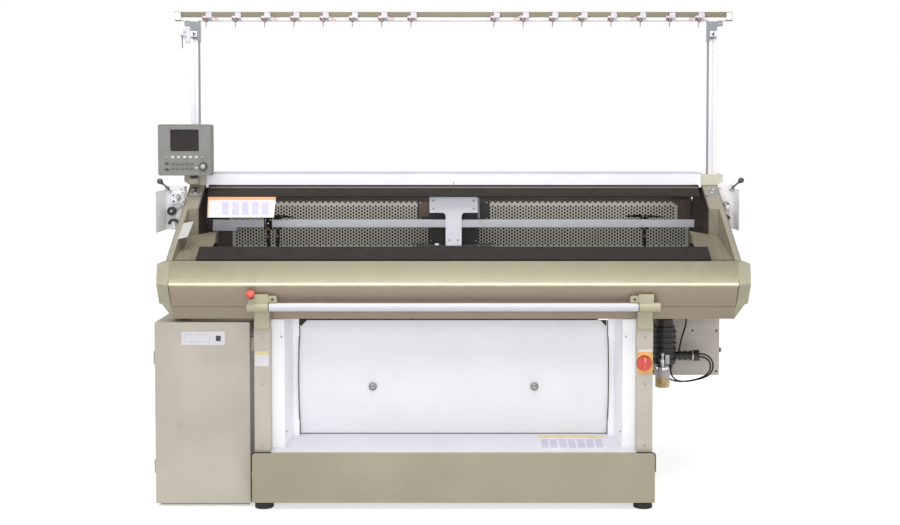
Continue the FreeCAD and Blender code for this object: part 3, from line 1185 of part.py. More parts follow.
def yarn_stand(side, values):
    """Folded stand plate on a cheek: attaching flange, front plate and outer flange."""
    face, depth = CHEEK_OUTER_X, values["depth"]
    path = [(face, depth + 60.0), (face, depth, 3.0), (values["outer"], depth, 4.0),
            (values["outer"], values["flange"])]
    sheet = plan_prism(strip(path, SHEET), values["low"], STAND_TOP)
    trim = slab(values["outer"] - 12.0, values["outer"] + 6.0, values["flange"] - 1.0,
                depth - 4.0, STAND_TOP - 18.0, STAND_TOP + 1.0)
    under_base = slab(face - 1.0, face + 4.0, depth + 4.0, depth + 61.0,
                      TOP_BEAM_Z - 2.0, STAND_TOP + 1.0)
    hole = rod((STAND_PIVOT_X, depth - 6.0, STAND_PIVOT_Z),
               (STAND_PIVOT_X, depth + 6.0, STAND_PIVOT_Z), LEVER_PIN + PIN_FIT)
    sheet = sheet.cut(trim).cut(under_base).cut(hole)
    return mirror_x(sheet) if side < 0 else sheet


def side_yarn_stands():
    """Left and right yarn stand."""
    return group([yarn_stand(-1, LEFT_STAND), yarn_stand(1, RIGHT_STAND)])


def stand_lever(side, values):
    """Tension lever: hub with its pin through the stand, shaft and ball knob."""
    z = STAND_PIVOT_Z
    depth = values["depth"] - 8.0
    x = STAND_PIVOT_X
    hub = rod((x, depth - 5.0, z), (x, values["depth"] - SEAT, z), LEVER_HUB)
    pin = rod((x, depth, z), (x, values["depth"] + 4.0, z), LEVER_PIN)
    reach = KNOB_X - x
    climb = KNOB_Z - z
    length = math.hypot(reach, climb)
    stop = (length - KNOB_RADIUS * 0.8) / length
    shaft = rod((x, depth, z), (x + reach * stop, depth, z + climb * stop), LEVER_SHAFT)
    knob = ball((KNOB_X, depth, KNOB_Z), KNOB_RADIUS, (reach, 0.0, climb))
    lever = fuse([hub, pin, shaft, knob])
    return mirror_x(lever) if side < 0 else lever


def side_tensioners():
    """Yarn guides on both stands: disc tensioner, guide roller and arch."""
    left_face = LEFT_STAND["depth"]
    right_face = RIGHT_STAND["depth"]
    disc_x, disc_z = LEFT_DISC
    block = slab(disc_x - 32.0, disc_x + 18.0, left_face - 8.0, left_face, disc_z - 28.0, disc_z + 20.0)
    top = fuse([disc_tensioner(LEFT_DISC, left_face), block])
    x, z = LEFT_ROLLER
    roller = rod((x, left_face - 30.0, z), (x, left_face - 6.0, z), GUIDE_RADIUS)
    axle = rod((x, left_face - 36.0, z), (x, left_face, z), 5.0)
    arm = front_prism([(x - 6.0, z - 6.0), (x + 48.0, z + 15.0), (x + 44.0, z + 27.0),
                       (x - 10.0, z + 6.0)], left_face - 6.0, left_face)
    guide = fuse([roller, axle, arm])
    return group([top, guide, arch(LEFT_ARCH[0], LEFT_ARCH[1], left_face, 26.0),
                  arch(RIGHT_ARCH[0], RIGHT_ARCH[1], right_face, 20.0),
                  disc_tensioner(RIGHT_DISC, right_face)])


def arch(x, z, face, radius):
    """Half-round yarn arch with a tongue in front of it."""
    ring = front_prism([(x - radius, z), (x - radius, z + radius, radius * 0.999),
                        (x + radius, z + radius, radius * 0.999), (x + radius, z)], face - 14.0, face)
    inner = radius - 9.0
    bore = front_prism([(x - inner, z - 1.0), (x - inner, z + inner, inner * 0.999),
                        (x + inner, z + inner, inner * 0.999), (x + inner, z - 1.0)],
                       face - 15.0, face - 3.0)
    tongue = slab(x - 5.0, x + 5.0, face - 10.0, face - 2.0, z - 20.0, z + 12.0)
    return fuse([ring.cut(bore), tongue])


def disc_tensioner(place, face):
    """Tension disc on its post, at an (x, z) place of a stand."""
    x, z = place
    post = rod((x, face - 26.0, z), (x, face, z), 5.0)
    return fuse([post, rod((x, face - 20.0, z), (x, face - 8.0, z), DISC_RADIUS)])


# ================================================================ main switch
SWITCH_X = 843.0
SWITCH_Z = 656.0
SWITCH_KNOB = 31.0
SWITCH_LOW = (29.5, 46.0)  # from the knob's axis to the plate's left and lower edge
SWITCH_HIGH = (38.0, 47.0)


def switch_plate():
    """Square plate of the main switch on the right side frame."""
    corners = rounded_box((SWITCH_X - SWITCH_LOW[0], SWITCH_Z - SWITCH_LOW[1]),
                          (SWITCH_X + SWITCH_HIGH[0], SWITCH_Z + SWITCH_HIGH[1]), 4.0)
    plate = front_prism(corners, FRAME_FRONT - 5.0, FRAME_FRONT)
    return plate.cut(rod((SWITCH_X, FRAME_FRONT - 6.0, SWITCH_Z),
                         (SWITCH_X, FRAME_FRONT - 0.5, SWITCH_Z), 6.0 + PIN_FIT))


def switch_knob():
    """Turning knob of the main switch with its grip bar."""
    face = FRAME_FRONT - 5.0
    disc = rod((SWITCH_X, face - 12.0, SWITCH_Z), (SWITCH_X, face - SEAT, SWITCH_Z), SWITCH_KNOB)
    bar = rounded_box((SWITCH_X - 9.0, SWITCH_Z - 30.0), (SWITCH_X + 9.0, SWITCH_Z + 30.0), 6.0)
    grip = front_prism(bar, face - 30.0, face - 11.0)
    shaft = rod((SWITCH_X, face - 2.0, SWITCH_Z), (SWITCH_X, face + 4.0, SWITCH_Z), 6.0)
    return fuse([disc, grip, shaft])


# ================================================================ cabinet
CABINET_SHEET = 3.0
HINGE_X = -(CABINET_OUT + HINGE_RADIUS + 0.5)
HINGE_DEPTH = CABINET_FRONT + DOOR_THICKNESS
HINGE_PLACES = (150.0, 640.0)
HINGE_LENGTH = 30.0


def cabinet_shell():
    """Sheet cabinet, open to the front, with plinth, hinge pins and ties to the side frame."""
    front = CABINET_FRONT + DOOR_THICKNESS + SEAT
    wall = CABINET_SHEET
    outer = slab(-CABINET_OUT, -CABINET_IN, front, CABINET_BACK, CABINET_BOTTOM, CABINET_TOP)
    inner = slab(-CABINET_OUT + wall, -CABINET_IN - wall, front, CABINET_BACK - wall,
                 CABINET_BOTTOM + wall, CABINET_TOP - wall)
    plinth = slab(-CABINET_OUT + 12.0, -CABINET_IN - 12.0, front + 20.0, CABINET_BACK - 20.0,
                  0.0, CABINET_BOTTOM)
    parts = [outer.cut(inner), plinth]
    for z in (120.0, 700.0):
        parts.append(slab(-CABINET_IN, -(FRAME_INNER_X + FRAME_WIDTH), front + 2.0, front + 30.0,
                          z, z + 60.0))
    for z in HINGE_PLACES:
        parts.append(rod((HINGE_X, HINGE_DEPTH, z), (HINGE_X, HINGE_DEPTH, z + HINGE_LENGTH),
                         HINGE_RADIUS))
        parts.append(rod((HINGE_X, HINGE_DEPTH, z), (HINGE_X, HINGE_DEPTH, z + 2.0 * HINGE_LENGTH),
                         HINGE_PIN))
        parts.append(slab(HINGE_X, -CABINET_OUT + 0.5, HINGE_DEPTH + 1.0, HINGE_DEPTH + 4.0,
                          z, z + HINGE_LENGTH))
    return fuse(parts)


def cabinet_door():
    """Folded cabinet door with its hinge barrels."""
    front, back = CABINET_FRONT, CABINET_FRONT + DOOR_THICKNESS
    wall = 2.0
    low, high = CABINET_BOTTOM + 3.0, CABINET_TOP
    tray = front_prism(rounded_box((-CABINET_OUT, low), (-CABINET_IN, high), 3.0), front, back)
    hollow = slab(-CABINET_OUT + wall, -CABINET_IN - wall, front + wall, back, low + wall, high - wall)
    parts = [tray.cut(hollow)]
    for z in HINGE_PLACES:
        start = z + HINGE_LENGTH + SEAT
        end = z + 2.0 * HINGE_LENGTH
        barrel = rod((HINGE_X, HINGE_DEPTH, start), (HINGE_X, HINGE_DEPTH, end), HINGE_RADIUS)
        leaf = slab(HINGE_X, -CABINET_OUT + 0.5, HINGE_DEPTH - 4.0, HINGE_DEPTH - 1.0, start, end)
        bore = rod((HINGE_X, HINGE_DEPTH, start), (HINGE_X, HINGE_DEPTH, end), HINGE_PIN + PIN_FIT)
        parts.append(barrel.fuse(leaf).cut(bore))
    return fuse(parts)


RACK_MARGIN = 22.0        # from the cabinet's side walls to the rack plate
CAGE_DEPTH = 260.0
CAGE_LOW = 0.54           # height of the card cage's floor, as a share of the cabinet's
CAGE_HEIGHT = 270.0
CARD_COUNT = 6


def controller_rack():
    """Electronics rack on the cabinet's back wall: plate, card cage, cards and supply."""
    back = CABINET_BACK - CABINET_SHEET
    left, right = -CABINET_OUT + RACK_MARGIN, -CABINET_IN - RACK_MARGIN
    low, high = CABINET_BOTTOM + 25.0, CABINET_TOP - 55.0
    floor = low + CAGE_LOW * (high - low)
    inner, outer = left + 20.0, right - 20.0
    face = back - 3.0
    half = (left + right) / 2.0
    parts = [slab(left, right, back - 4.0, back, low, high),
             slab(inner, outer, back - CAGE_DEPTH, face, floor, floor + 4.0),
             slab(inner, outer, back - CAGE_DEPTH, face, floor + CAGE_HEIGHT, floor + CAGE_HEIGHT + 4.0),
             slab(inner + 10.0, half - 10.0, back - 0.7 * CAGE_DEPTH, face, low + 40.0, floor - 90.0),
             slab(half + 40.0, outer - 10.0, back - 0.5 * CAGE_DEPTH, face, low + 40.0, floor - 60.0)]
    pitch = (outer - inner - 36.0) / (CARD_COUNT - 1)
    for index in range(CARD_COUNT):
        x = inner + 18.0 + pitch * index
        parts.append(slab(x - 3.0, x + 3.0, back - CAGE_DEPTH + 5.0, face,
                          floor + 3.0, floor + CAGE_HEIGHT + 1.0))
    return fuse(parts)


# ================================================================ right rear units
def junction_box():
    """Sheet box under the right end of the machine, with its side knob."""
    box = plan_prism([(BOX_INNER_X, BOX_FRONT, 2.0), (BOX_OUTER_X - 3.0, BOX_FRONT, 2.0),
                      (BOX_OUTER_X - 3.0, BOX_BACK, 2.0), (BOX_INNER_X, BOX_BACK, 2.0)],
                     BOX_BOTTOM, FRAME_TOP)
    seam_z, knob_z = FRAME_TOP - 98.0, BOX_BOTTOM + BOX_KNOB_RISE
    seam = slab(BOX_INNER_X - 1.0, BOX_OUTER_X, BOX_FRONT - 1.0, BOX_FRONT + 1.5, seam_z, seam_z + 3.0)
    knob = rod((BOX_OUTER_X - 4.0, BOX_FRONT + 30.0, knob_z),
               (BOX_OUTER_X + 14.0, BOX_FRONT + 30.0, knob_z), 10.0)
    return fuse([box.cut(seam), knob])


MOTOR_X = 1018.0
MOTOR_DEPTH = 528.0
MOTOR_RADIUS = 58.0
SOCKET_Z = 598.0
SOCKET_END = 1186.0
GLAND_DEPTH = MOTOR_DEPTH - 6.0
GLAND_Z = 540.0
GLAND_PLACES = (8.0, 32.0)        # of the two cable glands, from the motor's axis
CAN_BOTTOM = GLAND_Z + 20.0
CAN_TOP = CAN_BOTTOM + 180.0
FIN_COUNT = 6
FIN_PITCH = 27.0
FIN_HEIGHT = 11.0
RIB_COUNT = 3
RIB_PITCH = 26.0
OILER_X = 993.0
OILER_DEPTH = 424.0
OILER_Z = 467.0
OIL_BOSS_DEPTH = MOTOR_DEPTH - MOTOR_RADIUS - 4.0
OIL_BOSS_Z = 588.0


def suction_motor():
    """Suction motor in front of the box: finned can, foot, head, socket and lower glands."""
    centre = (MOTOR_X, MOTOR_DEPTH)
    parts = [rod(centre + (CAN_BOTTOM,), centre + (CAN_TOP,), MOTOR_RADIUS - 6.0)]
    for index in range(FIN_COUNT):
        z = CAN_BOTTOM + 14.0 + FIN_PITCH * index
        parts.append(rod(centre + (z,), centre + (z + FIN_HEIGHT,), MOTOR_RADIUS))
    parts.append(rod(centre + (CAN_TOP,), centre + (CAN_TOP + 35.0,), MOTOR_RADIUS - 16.0))
    parts.append(slab(MOTOR_X - 40.0, MOTOR_X + 40.0, MOTOR_DEPTH + 30.0, BOX_FRONT,
                      CAN_BOTTOM + 40.0, CAN_TOP - 20.0))
    socket = (MOTOR_DEPTH, SOCKET_Z)
    parts.append(rod((MOTOR_X,) + socket, (SOCKET_END - 10.0,) + socket, 19.0))
    for index in range(RIB_COUNT):
        x = MOTOR_X + MOTOR_RADIUS + 12.0 + RIB_PITCH * index
        parts.append(rod((x,) + socket, (x + 0.5 * RIB_PITCH,) + socket, 23.0))
    parts.append(rod((SOCKET_END - 22.0,) + socket, (SOCKET_END,) + socket, 27.0))
    for dx in GLAND_PLACES:
        place = (MOTOR_X + dx, GLAND_DEPTH)
        parts.append(rod(place + (GLAND_Z,), place + (CAN_BOTTOM + 2.0,), 9.0))
    parts.append(rod((OILER_X, OIL_BOSS_DEPTH, OIL_BOSS_Z), (OILER_X, MOTOR_DEPTH - 20.0, OIL_BOSS_Z), 12.0))
    return fuse(parts)


def oiler():
    """Oil cup with its cap, stem and the elbow that screws into the motor's foot."""
    place = (OILER_X, OILER_DEPTH)
    top = OIL_BOSS_Z + 12.0
    profile = [(0.0, OILER_Z), (35.0, OILER_Z), (35.0, OILER_Z + 85.0), (31.0, OILER_Z + 85.0),
               (31.0, OILER_Z + 99.0), (9.0, OILER_Z + 99.0), (9.0, top), (4.0, top),
               (4.0, top + 18.0), (8.0, top + 21.0), (8.0, top + 28.0), (4.0, top + 34.0),
               (0.0, top + 34.0)]
    cup = turned(profile, place + (0.0,), Vector(0, 0, 1))
    return fuse([cup, rod(place + (OIL_BOSS_Z,), (OILER_X, OIL_BOSS_DEPTH, OIL_BOSS_Z), 9.0)])


# ================================================================ cables
CABLE_RADIUS = 4.0
CABLE_FRONT = [(1186.0, 522.0, 606.0), (1212.0, 522.0, 606.0), (1238.0, 520.0, 591.0),
               (1253.0, 517.0, 565.0), (1253.0, 514.0, 535.0), (1238.0, 511.0, 509.0),
               (1212.0, 509.0, 494.0), (1168.0, 509.0, 482.0), (1128.0, 512.0, 474.5),
               (1088.2, 517.0, 473.8), (1064.0, 520.0, 487.8), (1050.0, 522.0, 512.0),
               (1050.0, 522.0, 540.0)]
CABLE_REAR = [(1186.0, 536.0, 590.0), (1210.0, 536.0, 590.0), (1233.4, 538.0, 576.5),
              (1246.9, 541.0, 553.1), (1246.9, 544.0, 526.1), (1233.4, 546.0, 502.7),
              (1210.0, 546.0, 487.5), (1172.0, 545.0, 474.8), (1128.4, 541.0, 469.0),
              (1096.0, 536.0, 468.5), (1064.2, 530.0, 473.8), (1040.0, 525.0, 487.8),
              (1026.0, 522.0, 512.0), (1026.0, 522.0, 540.0)]


def cable(route, name):
    """Cable tube along straight runs joined by tangent arcs; prints its radii and volume."""
    points = [Vector(x, FRONT_Y + d, z) for x, d, z in route]
    edges, radii = [], []
    start = points[0]
    for before, corner, after in zip(points, points[1:], points[2:]):
        back = (before - corner)
        ahead = (after - corner)
        shorter = min(back.Length, ahead.Length)
        back.normalize()
        ahead.normalize()
        half = back.getAngle(ahead) / 2.0
        reach = 0.45 * shorter
        radius = reach * math.tan(half)
        radii.append(radius)
        entry, leave = corner + back * reach, corner + ahead * reach
        bisector = (back + ahead).normalize()
        middle = corner + bisector * (radius / math.sin(half) - radius)
        edges.append(Part.LineSegment(start, entry).toShape())
        edges.append(Part.Arc(entry, middle, leave).toShape())
        start = leave
    edges.append(Part.LineSegment(start, points[-1]).toShape())
    path = Part.Wire(edges)
    circle = Part.Circle(points[0], points[1] - points[0], CABLE_RADIUS)
    section = Part.Wire([circle.toShape()])
    tube = path.makePipeShell([section], True, False)
    ideal = math.pi * CABLE_RADIUS ** 2 * path.Length
    print(name, "radii", [round(radius) for radius in radii],
          "volume over section x length", round(tube.Volume / ideal, 4))
    return tube


# ================================================================ all pieces
def pieces():
    """Name and solid of every piece of the machine."""
    frame = side_frame()
    return {
        "side_frames": group([mirror_x(frame), frame]),
        "levelling_feet": levelling_feet(),
        "lower_cross_beam": lower_cross_beam(),
        "kick_cover": kick_cover(),
        "front_beam_cover": front_beam_cover(),
        "beam_end_caps": beam_end_caps(),
        "side_cheeks": side_cheeks(),
        "deck_housings": deck_housings(),
        "rear_beam_cover": rear_beam_cover(),
        "perforated_screen": perforated_screen(),
        "top_beam": top_beam(),
        "mast_bases": mast_bases(),
        "bed_girder": bed_girder(),
        "front_needle_bed": needle_bed(),
        "rear_needle_bed": rear_bed(),
        "carriage_guides": carriage_guides(),
        "front_cam_box": front_cam_box(),
        "rear_cam_box": rear_cam_box(),
        "carriage_bridge": carriage_bridge(),
        "yarn_rails": yarn_rails(),
        "yarn_carrier_1": yarn_carrier(0),
        "yarn_carrier_2": yarn_carrier(1),
        "yarn_carrier_3": yarn_carrier(2),
        "drive_belt": drive_belt(),
        "left_belt_pulley": belt_pulley(-1),
        "right_belt_pulley": belt_pulley(1),
        "drive_motor": drive_motor(),
        "racking_motor": racking_motor(),
        "front_take_down_roller": take_down_roller(-1),
        "rear_take_down_roller": take_down_roller(1),
        "take_down_motor": take_down_motor(),
        "take_down_cover": take_down_cover(),
        "fabric_tray": fabric_tray(),
        "side_panels": side_panels(),
        "handrail": handrail(),
        "handrail_brackets": handrail_brackets(),
        "stop_button": stop_button(),
        "window_pane": window_pane(),
        "window_rails": window_rails(),
        "masts": masts(),
        "top_rail": top_rail(),
        "top_tensioners": top_tensioners(),
        "panel_housing": panel_housing(),
        "panel_screen": panel_screen(),
        "panel_dial": panel_dial(),
        "panel_arm": panel_arm(),
        "side_yarn_stands": side_yarn_stands(),
        "left_stand_lever": stand_lever(-1, LEFT_STAND),
        "right_stand_lever": stand_lever(1, RIGHT_STAND),
        "side_tensioners": side_tensioners(),
        "switch_plate": switch_plate(),
        "switch_knob": switch_knob(),
        "cabinet_shell": cabinet_shell(),
        "cabinet_door": cabinet_door(),
        "controller_rack": controller_rack(),
        "junction_box": junction_box(),
        "suction_motor": suction_motor(),
        "oiler": oiler(),
        "front_cable": cable(CABLE_FRONT, "front_cable"),
        "rear_cable": cable(CABLE_REAR, "rear_cable"),
    }


def main():
    """Write one STEP file for each piece."""
    os.makedirs("parts", exist_ok=True)
    for name, shape in pieces().items():
        shape.exportStep(os.path.join("parts", name + ".step"))


if __name__ == "__main__":
    main()
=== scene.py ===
"""Looks of a computerised flat knitting machine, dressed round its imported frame.

Sizes are in millimetres and are turned to metres by at(). X runs to the operator's right,
depth runs back from the front plane through the nose of the beam, and Z is height.
"""
import logging
import math
from dataclasses import dataclass
from enum import Enum
from typing import Sequence

import bmesh
import bpy
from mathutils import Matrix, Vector


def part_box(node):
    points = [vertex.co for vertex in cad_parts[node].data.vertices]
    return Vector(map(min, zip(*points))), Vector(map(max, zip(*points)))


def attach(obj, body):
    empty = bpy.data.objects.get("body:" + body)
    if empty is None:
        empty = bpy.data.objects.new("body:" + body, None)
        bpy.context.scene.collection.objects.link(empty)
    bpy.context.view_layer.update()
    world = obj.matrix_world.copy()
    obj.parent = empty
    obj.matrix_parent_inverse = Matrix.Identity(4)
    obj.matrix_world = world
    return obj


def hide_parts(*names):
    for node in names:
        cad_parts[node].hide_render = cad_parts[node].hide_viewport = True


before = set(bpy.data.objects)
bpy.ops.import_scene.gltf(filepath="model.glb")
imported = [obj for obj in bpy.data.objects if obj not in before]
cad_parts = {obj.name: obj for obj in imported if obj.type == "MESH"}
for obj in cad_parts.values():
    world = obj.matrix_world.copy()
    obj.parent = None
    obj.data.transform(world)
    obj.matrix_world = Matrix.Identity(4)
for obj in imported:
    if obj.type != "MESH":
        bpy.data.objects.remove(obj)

LOG = logging.getLogger("knitting_machine")
MM = 0.001
FRONT_Y = -0.43851                     # the front plane in the frame
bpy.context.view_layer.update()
SMOOTH_ANGLE = math.radians(32)
FORWARD, BACK = Vector((0, -1, 0)), Vector((0, 1, 0))
UP, ACROSS = Vector((0, 0, 1)), Vector((1, 0, 0))
SIDES = (-1, 1)

Pair = tuple[float, float]
Spot = Sequence[float]                 # across, depth and height


def at(x: float, depth: float, z: float) -> Vector:
    """Point in metres from millimetres across, back from the front plane and up."""
    return Vector((x * MM, FRONT_Y + depth * MM, z * MM))


def linear(code: str) -> tuple[float, float, float, float]:
    """Turn an sRGB hex value into linear red, green, blue and full alpha."""
    values = [int(code[start:start + 2], 16) / 255 for start in (1, 3, 5)]
    flat = [v / 12.92 if v <= 0.04045 else ((v + 0.055) / 1.055) ** 2.4 for v in values]
    return (flat[0], flat[1], flat[2], 1)


class Plane(Enum):
    """The plane an outline is drawn in; the sweep runs along the axis that is left."""

    SIDE = "depth and z, swept along x"
    FRONT = "x and z, swept along depth"


def swept(plane: Plane, outline: Sequence[Pair], sweep: float) -> list[Spot]:
    """An outline's points at a place along its sweep."""
    if plane is Plane.SIDE:
        return [(sweep, a, b) for a, b in outline]
    return [(a, sweep, b) for a, b in outline]


def circle(steps: int, radius: float = 1, middle: Pair = (0, 0)) -> list[Pair]:
    """Points of a circle."""
    return [(middle[0] + radius * math.cos(math.tau * k / steps),
             middle[1] + radius * math.sin(math.tau * k / steps)) for k in range(steps)]


def arc(middle: Pair, radius: float, start: float, end: float, steps: int) -> list[Pair]:
    """Points on an arc, its angles in degrees."""
    turns = [math.radians(start + (end - start) * k / steps) for k in range(steps + 1)]
    return [(middle[0] + radius * math.cos(a), middle[1] + radius * math.sin(a)) for a in turns]


def rounded(corners: Sequence[Sequence[float]], steps: int = 5) -> list[Pair]:
    """Round the corners of a closed outline.

    Args:
        corners: (a, b) or (a, b, radius) in order.
        steps: number of straight parts in each rounded corner.

    Returns:
        The outline's points.
    """
    points: list[Pair] = []
    for index, corner in enumerate(corners):
        here = Vector(corner[:2])
        before = (Vector(corners[index - 1][:2]) - here).normalized()
        after = (Vector(corners[(index + 1) % len(corners)][:2]) - here).normalized()
        half = before.angle(after) / 2
        if len(corner) < 3 or corner[2] <= 0 or half > math.radians(89):
            points.append((here.x, here.y))
            continue
        middle = here + (before + after).normalized() * (corner[2] / math.sin(half))
        reach = corner[2] / math.tan(half)
        start, end = here + before * reach - middle, here + after * reach - middle
        turn = start.angle_signed(end)
        for step in range(steps + 1):
            c, s = math.cos(turn * step / steps), -math.sin(turn * step / steps)
            points.append((middle.x + start.x * c - start.y * s,
                           middle.y + start.x * s + start.y * c))
    return points


def rectangle(low: Pair, high: Pair, radius: float = 0) -> list[Pair]:
    """Outline of a rectangle with rounded corners."""
    return rounded([(low[0], low[1], radius), (high[0], low[1], radius),
                    (high[0], high[1], radius), (low[0], high[1], radius)], 4)


class Forge:
    """Collects the surfaces of one piece in a bmesh and turns them into an object."""

    def __init__(self) -> None:
        """Start with nothing."""
        self.mesh = bmesh.new()
        self.paint = 0

    def vertex(self, spot: Spot) -> bmesh.types.BMVert:
        """Add one point."""
        return self.mesh.verts.new(at(*spot))

    def face(self, corners: Sequence[bmesh.types.BMVert]) -> None:
        """Add one face in the current paint."""
        self.mesh.faces.new(corners).material_index = self.paint

    def rings(self, rings: Sequence[Sequence[Spot]], capped: bool = True) -> None:
        """Join rings with the same number of points into a skin, with or without end faces."""
        rows = [[self.vertex(spot) for spot in ring] for ring in rings]
        for first, second in zip(rows, rows[1:]):
            for k in range(len(first)):
                after = (k + 1) % len(first)
                self.face((first[k], first[after], second[after], second[k]))
        if capped:
            self.face(rows[0][::-1])
            self.face(rows[-1])

    def prism(self, plane: Plane, outline: Sequence[Pair], start: float, end: float,
              capped: bool = True) -> None:
        """Sweep an outline from one place to another."""
        self.rings([swept(plane, outline, sweep) for sweep in (start, end)], capped)

    def slab(self, x: Pair, depth: Pair, z: Pair) -> None:
        """Add a box between two X values, two depths and two heights."""
        self.card((x[0], z[0]), (x[1], z[1]), 0, depth)

    def slabs(self, x: Pair, depth: Pair, z: Pair) -> None:
        """Add a box on the right of the middle plane and its mirror image."""
        for span in ((-x[1], -x[0]), x):
            self.slab(span, depth, z)

    def card(self, low: Pair, high: Pair, radius: float, depth: Pair) -> None:
        """Add a plate seen from the front, its corners (x, z) rounded, between two depths."""
        self.prism(Plane.FRONT, rectangle(low, high, radius), *depth)

    def plate(self, outline: Sequence[Pair], hole: Sequence[Pair], depth: Pair) -> None:
        """Sweep an outline in the front plane with a hole in it between two depths."""
        for sweep in depth:
            edges = []
            for loop in (outline, hole):
                verts = [self.vertex(spot) for spot in swept(Plane.FRONT, loop, sweep)]
                edges += [self.mesh.edges.new(ends) for ends in zip(verts, verts[1:] + verts[:1])]
            filled = bmesh.ops.triangle_fill(self.mesh, edges=edges, use_beauty=True)
            for item in filled["geom"]:
                if isinstance(item, bmesh.types.BMFace):
                    item.material_index = self.paint
        for loop in (outline, hole):
            self.prism(Plane.FRONT, loop, *depth, capped=False)

    def lathe(self, profile: Sequence[Pair], spot: Spot, axis: Vector = FORWARD,
              steps: int = 32) -> None:
        """Turn a profile of (radius, distance along the axis) about an axis through a spot."""
        turn = axis.normalized().to_track_quat("Z", "Y")
        rows = [[self.vertex(Vector(spot) + turn @ Vector((radius * c, radius * s, along)))
                 for c, s in circle(steps)[:steps if radius > 1e-6 else 1]]
                for radius, along in profile]
        for first, second in zip(rows, rows[1:]):
            for k in range(steps):
                after = (k + 1) % steps
                corners = list(dict.fromkeys(
                    [first[k % len(first)], first[after % len(first)],
                     second[after % len(second)], second[k % len(second)]]))
                if len(corners) > 2:
                    self.face(corners)

    def disc(self, spot: Spot, radius: float, height: float, edge: float = 0.8, steps: int = 32,
             axis: Vector = FORWARD) -> None:
        """Add a round button, boss or rod with softened edges, its height along the axis."""
        edge = min(edge, radius * 0.4, height * 0.45)
        inner = edge * 0.3
        self.lathe([(0, 0), (radius - edge, 0), (radius - inner, inner), (radius, edge),
                    (radius, height - edge), (radius - inner, height - inner),
                    (radius - edge, height), (0, height)], spot, axis, steps)

    def tube(self, path: Sequence[Spot], radius: float, sides: int = 12) -> None:
        """Sweep a circle along a path."""
        points = [Vector(spot) for spot in path]
        tangents = [(after - before).normalized() for before, after in
                    zip(points[:1] + points[:-1], points[1:] + points[-1:])]
        side = tangents[0].orthogonal().normalized()
        rings = []
        for k, (point, tangent) in enumerate(zip(points, tangents)):
            if k:
                side = tangents[k - 1].rotation_difference(tangent) @ side
            side = (side - tangent * side.dot(tangent)).normalized()
            up = tangent.cross(side)
            rings.append([point + (side * c + up * s) * radius for c, s in circle(sides)])
        self.rings(rings)

    def screws(self, radius: float, spots: Sequence[Spot], axis: Vector = FORWARD) -> None:
        """Add low round screw heads with a recess, their axis pointing out."""
        height = radius * 0.45
        for spot in spots:
            self.lathe([(radius, -0.4), (radius, height * 0.35), (radius * 0.82, height * 0.8),
                        (radius * 0.5, height), (radius * 0.46, height),
                        (radius * 0.34, height * 0.35), (0, height * 0.3)], spot, axis, 20)

    def mirrored(self) -> None:
        """Add the same surfaces on the other side of the middle plane."""
        copied = bmesh.ops.duplicate(self.mesh, geom=self.mesh.verts[:] + self.mesh.edges[:]
                                     + self.mesh.faces[:])["geom"]
        verts = [item for item in copied if isinstance(item, bmesh.types.BMVert)]
        faces = [item for item in copied if isinstance(item, bmesh.types.BMFace)]
        bmesh.ops.scale(self.mesh, vec=(-1, 1, 1), verts=verts)
        bmesh.ops.reverse_faces(self.mesh, faces=faces)

    def make(self, name: str, slot: str, *coats: "Finish", body: str = "machine",
             bevel: float = 0) -> bpy.types.Object:
        """Turn what was collected into an object that rides on a body.

        Args:
            name: name of the piece.
            slot: the record's material slot that it belongs to; not used.
            coats: one finish for each paint number.
            body: the body it moves with.
            bevel: width of its softened edges, or nought.

        Returns:
            The new object.
        """
        bmesh.ops.recalc_face_normals(self.mesh, faces=self.mesh.faces[:])
        data = bpy.data.meshes.new(name)
        self.mesh.to_mesh(data)
        self.mesh.free()
        for coat in coats:
            data.materials.append(coat.build())
        piece = bpy.data.objects.new(name, data)
        bpy.context.scene.collection.objects.link(piece)
        data.shade_smooth()
        if bevel:
            edge = piece.modifiers.new("edge", "BEVEL")
            edge.width = bevel * MM
            edge.segments = 2
            edge.limit_method = "ANGLE"
            edge.angle_limit = SMOOTH_ANGLE
            edge.use_clamp_overlap = edge.harden_normals = True
        else:
            data.set_sharp_from_angle(angle=SMOOTH_ANGLE)
        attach(piece, body)
        LOG.info("piece %s: %d faces on %s", name, len(data.polygons), body)
        return piece


# ---------------------------------------------------------------- finishes
Tree, Socket = bpy.types.NodeTree, bpy.types.NodeSocket


def give(tree: Tree, target: bpy.types.Node, values: dict) -> None:
    """Set a node's inputs, by name or number, each to a socket to link or to a value."""
    for name, value in values.items():
        if isinstance(value, Socket):
            tree.links.new(value, target.inputs[name])
        else:
            target.inputs[name].default_value = value


def node(tree: Tree, kind: str, values: dict | None = None, **settings: object) -> bpy.types.Node:
    """Add a node with its own settings and its inputs' values."""
    made = tree.nodes.new("ShaderNode" + kind)
    for name, value in settings.items():
        setattr(made, name, value)
    give(tree, made, values or {})
    return made


def noise(tree: Tree, where: Socket, spacing: float, detail: float = 2) -> Socket:
    """Grey cloud pattern whose spots are about spacing millimetres apart."""
    return node(tree, "TexNoise", {"Vector": where, "Scale": 1 / (spacing * MM),
                                   "Detail": detail}).outputs["Fac"]


def spread(tree: Tree, value: Socket, low: float, high: float, start: float = 0.3,
           end: float = 0.7) -> Socket:
    """Stretch a value's range, at first that of a grey pattern, over low to high."""
    return node(tree, "MapRange", {"Value": value, "From Min": start, "From Max": end,
                                   "To Min": low, "To Max": high}).outputs["Result"]


def mixed(tree: Tree, factor: Socket, first: str, second: str | Socket) -> Socket:
    """Colour between two by a factor."""
    return node(tree, "Mix", {0: factor, 6: linear(first), 7: second if isinstance(second, Socket)
                              else linear(second)}, data_type="RGBA").outputs[2]


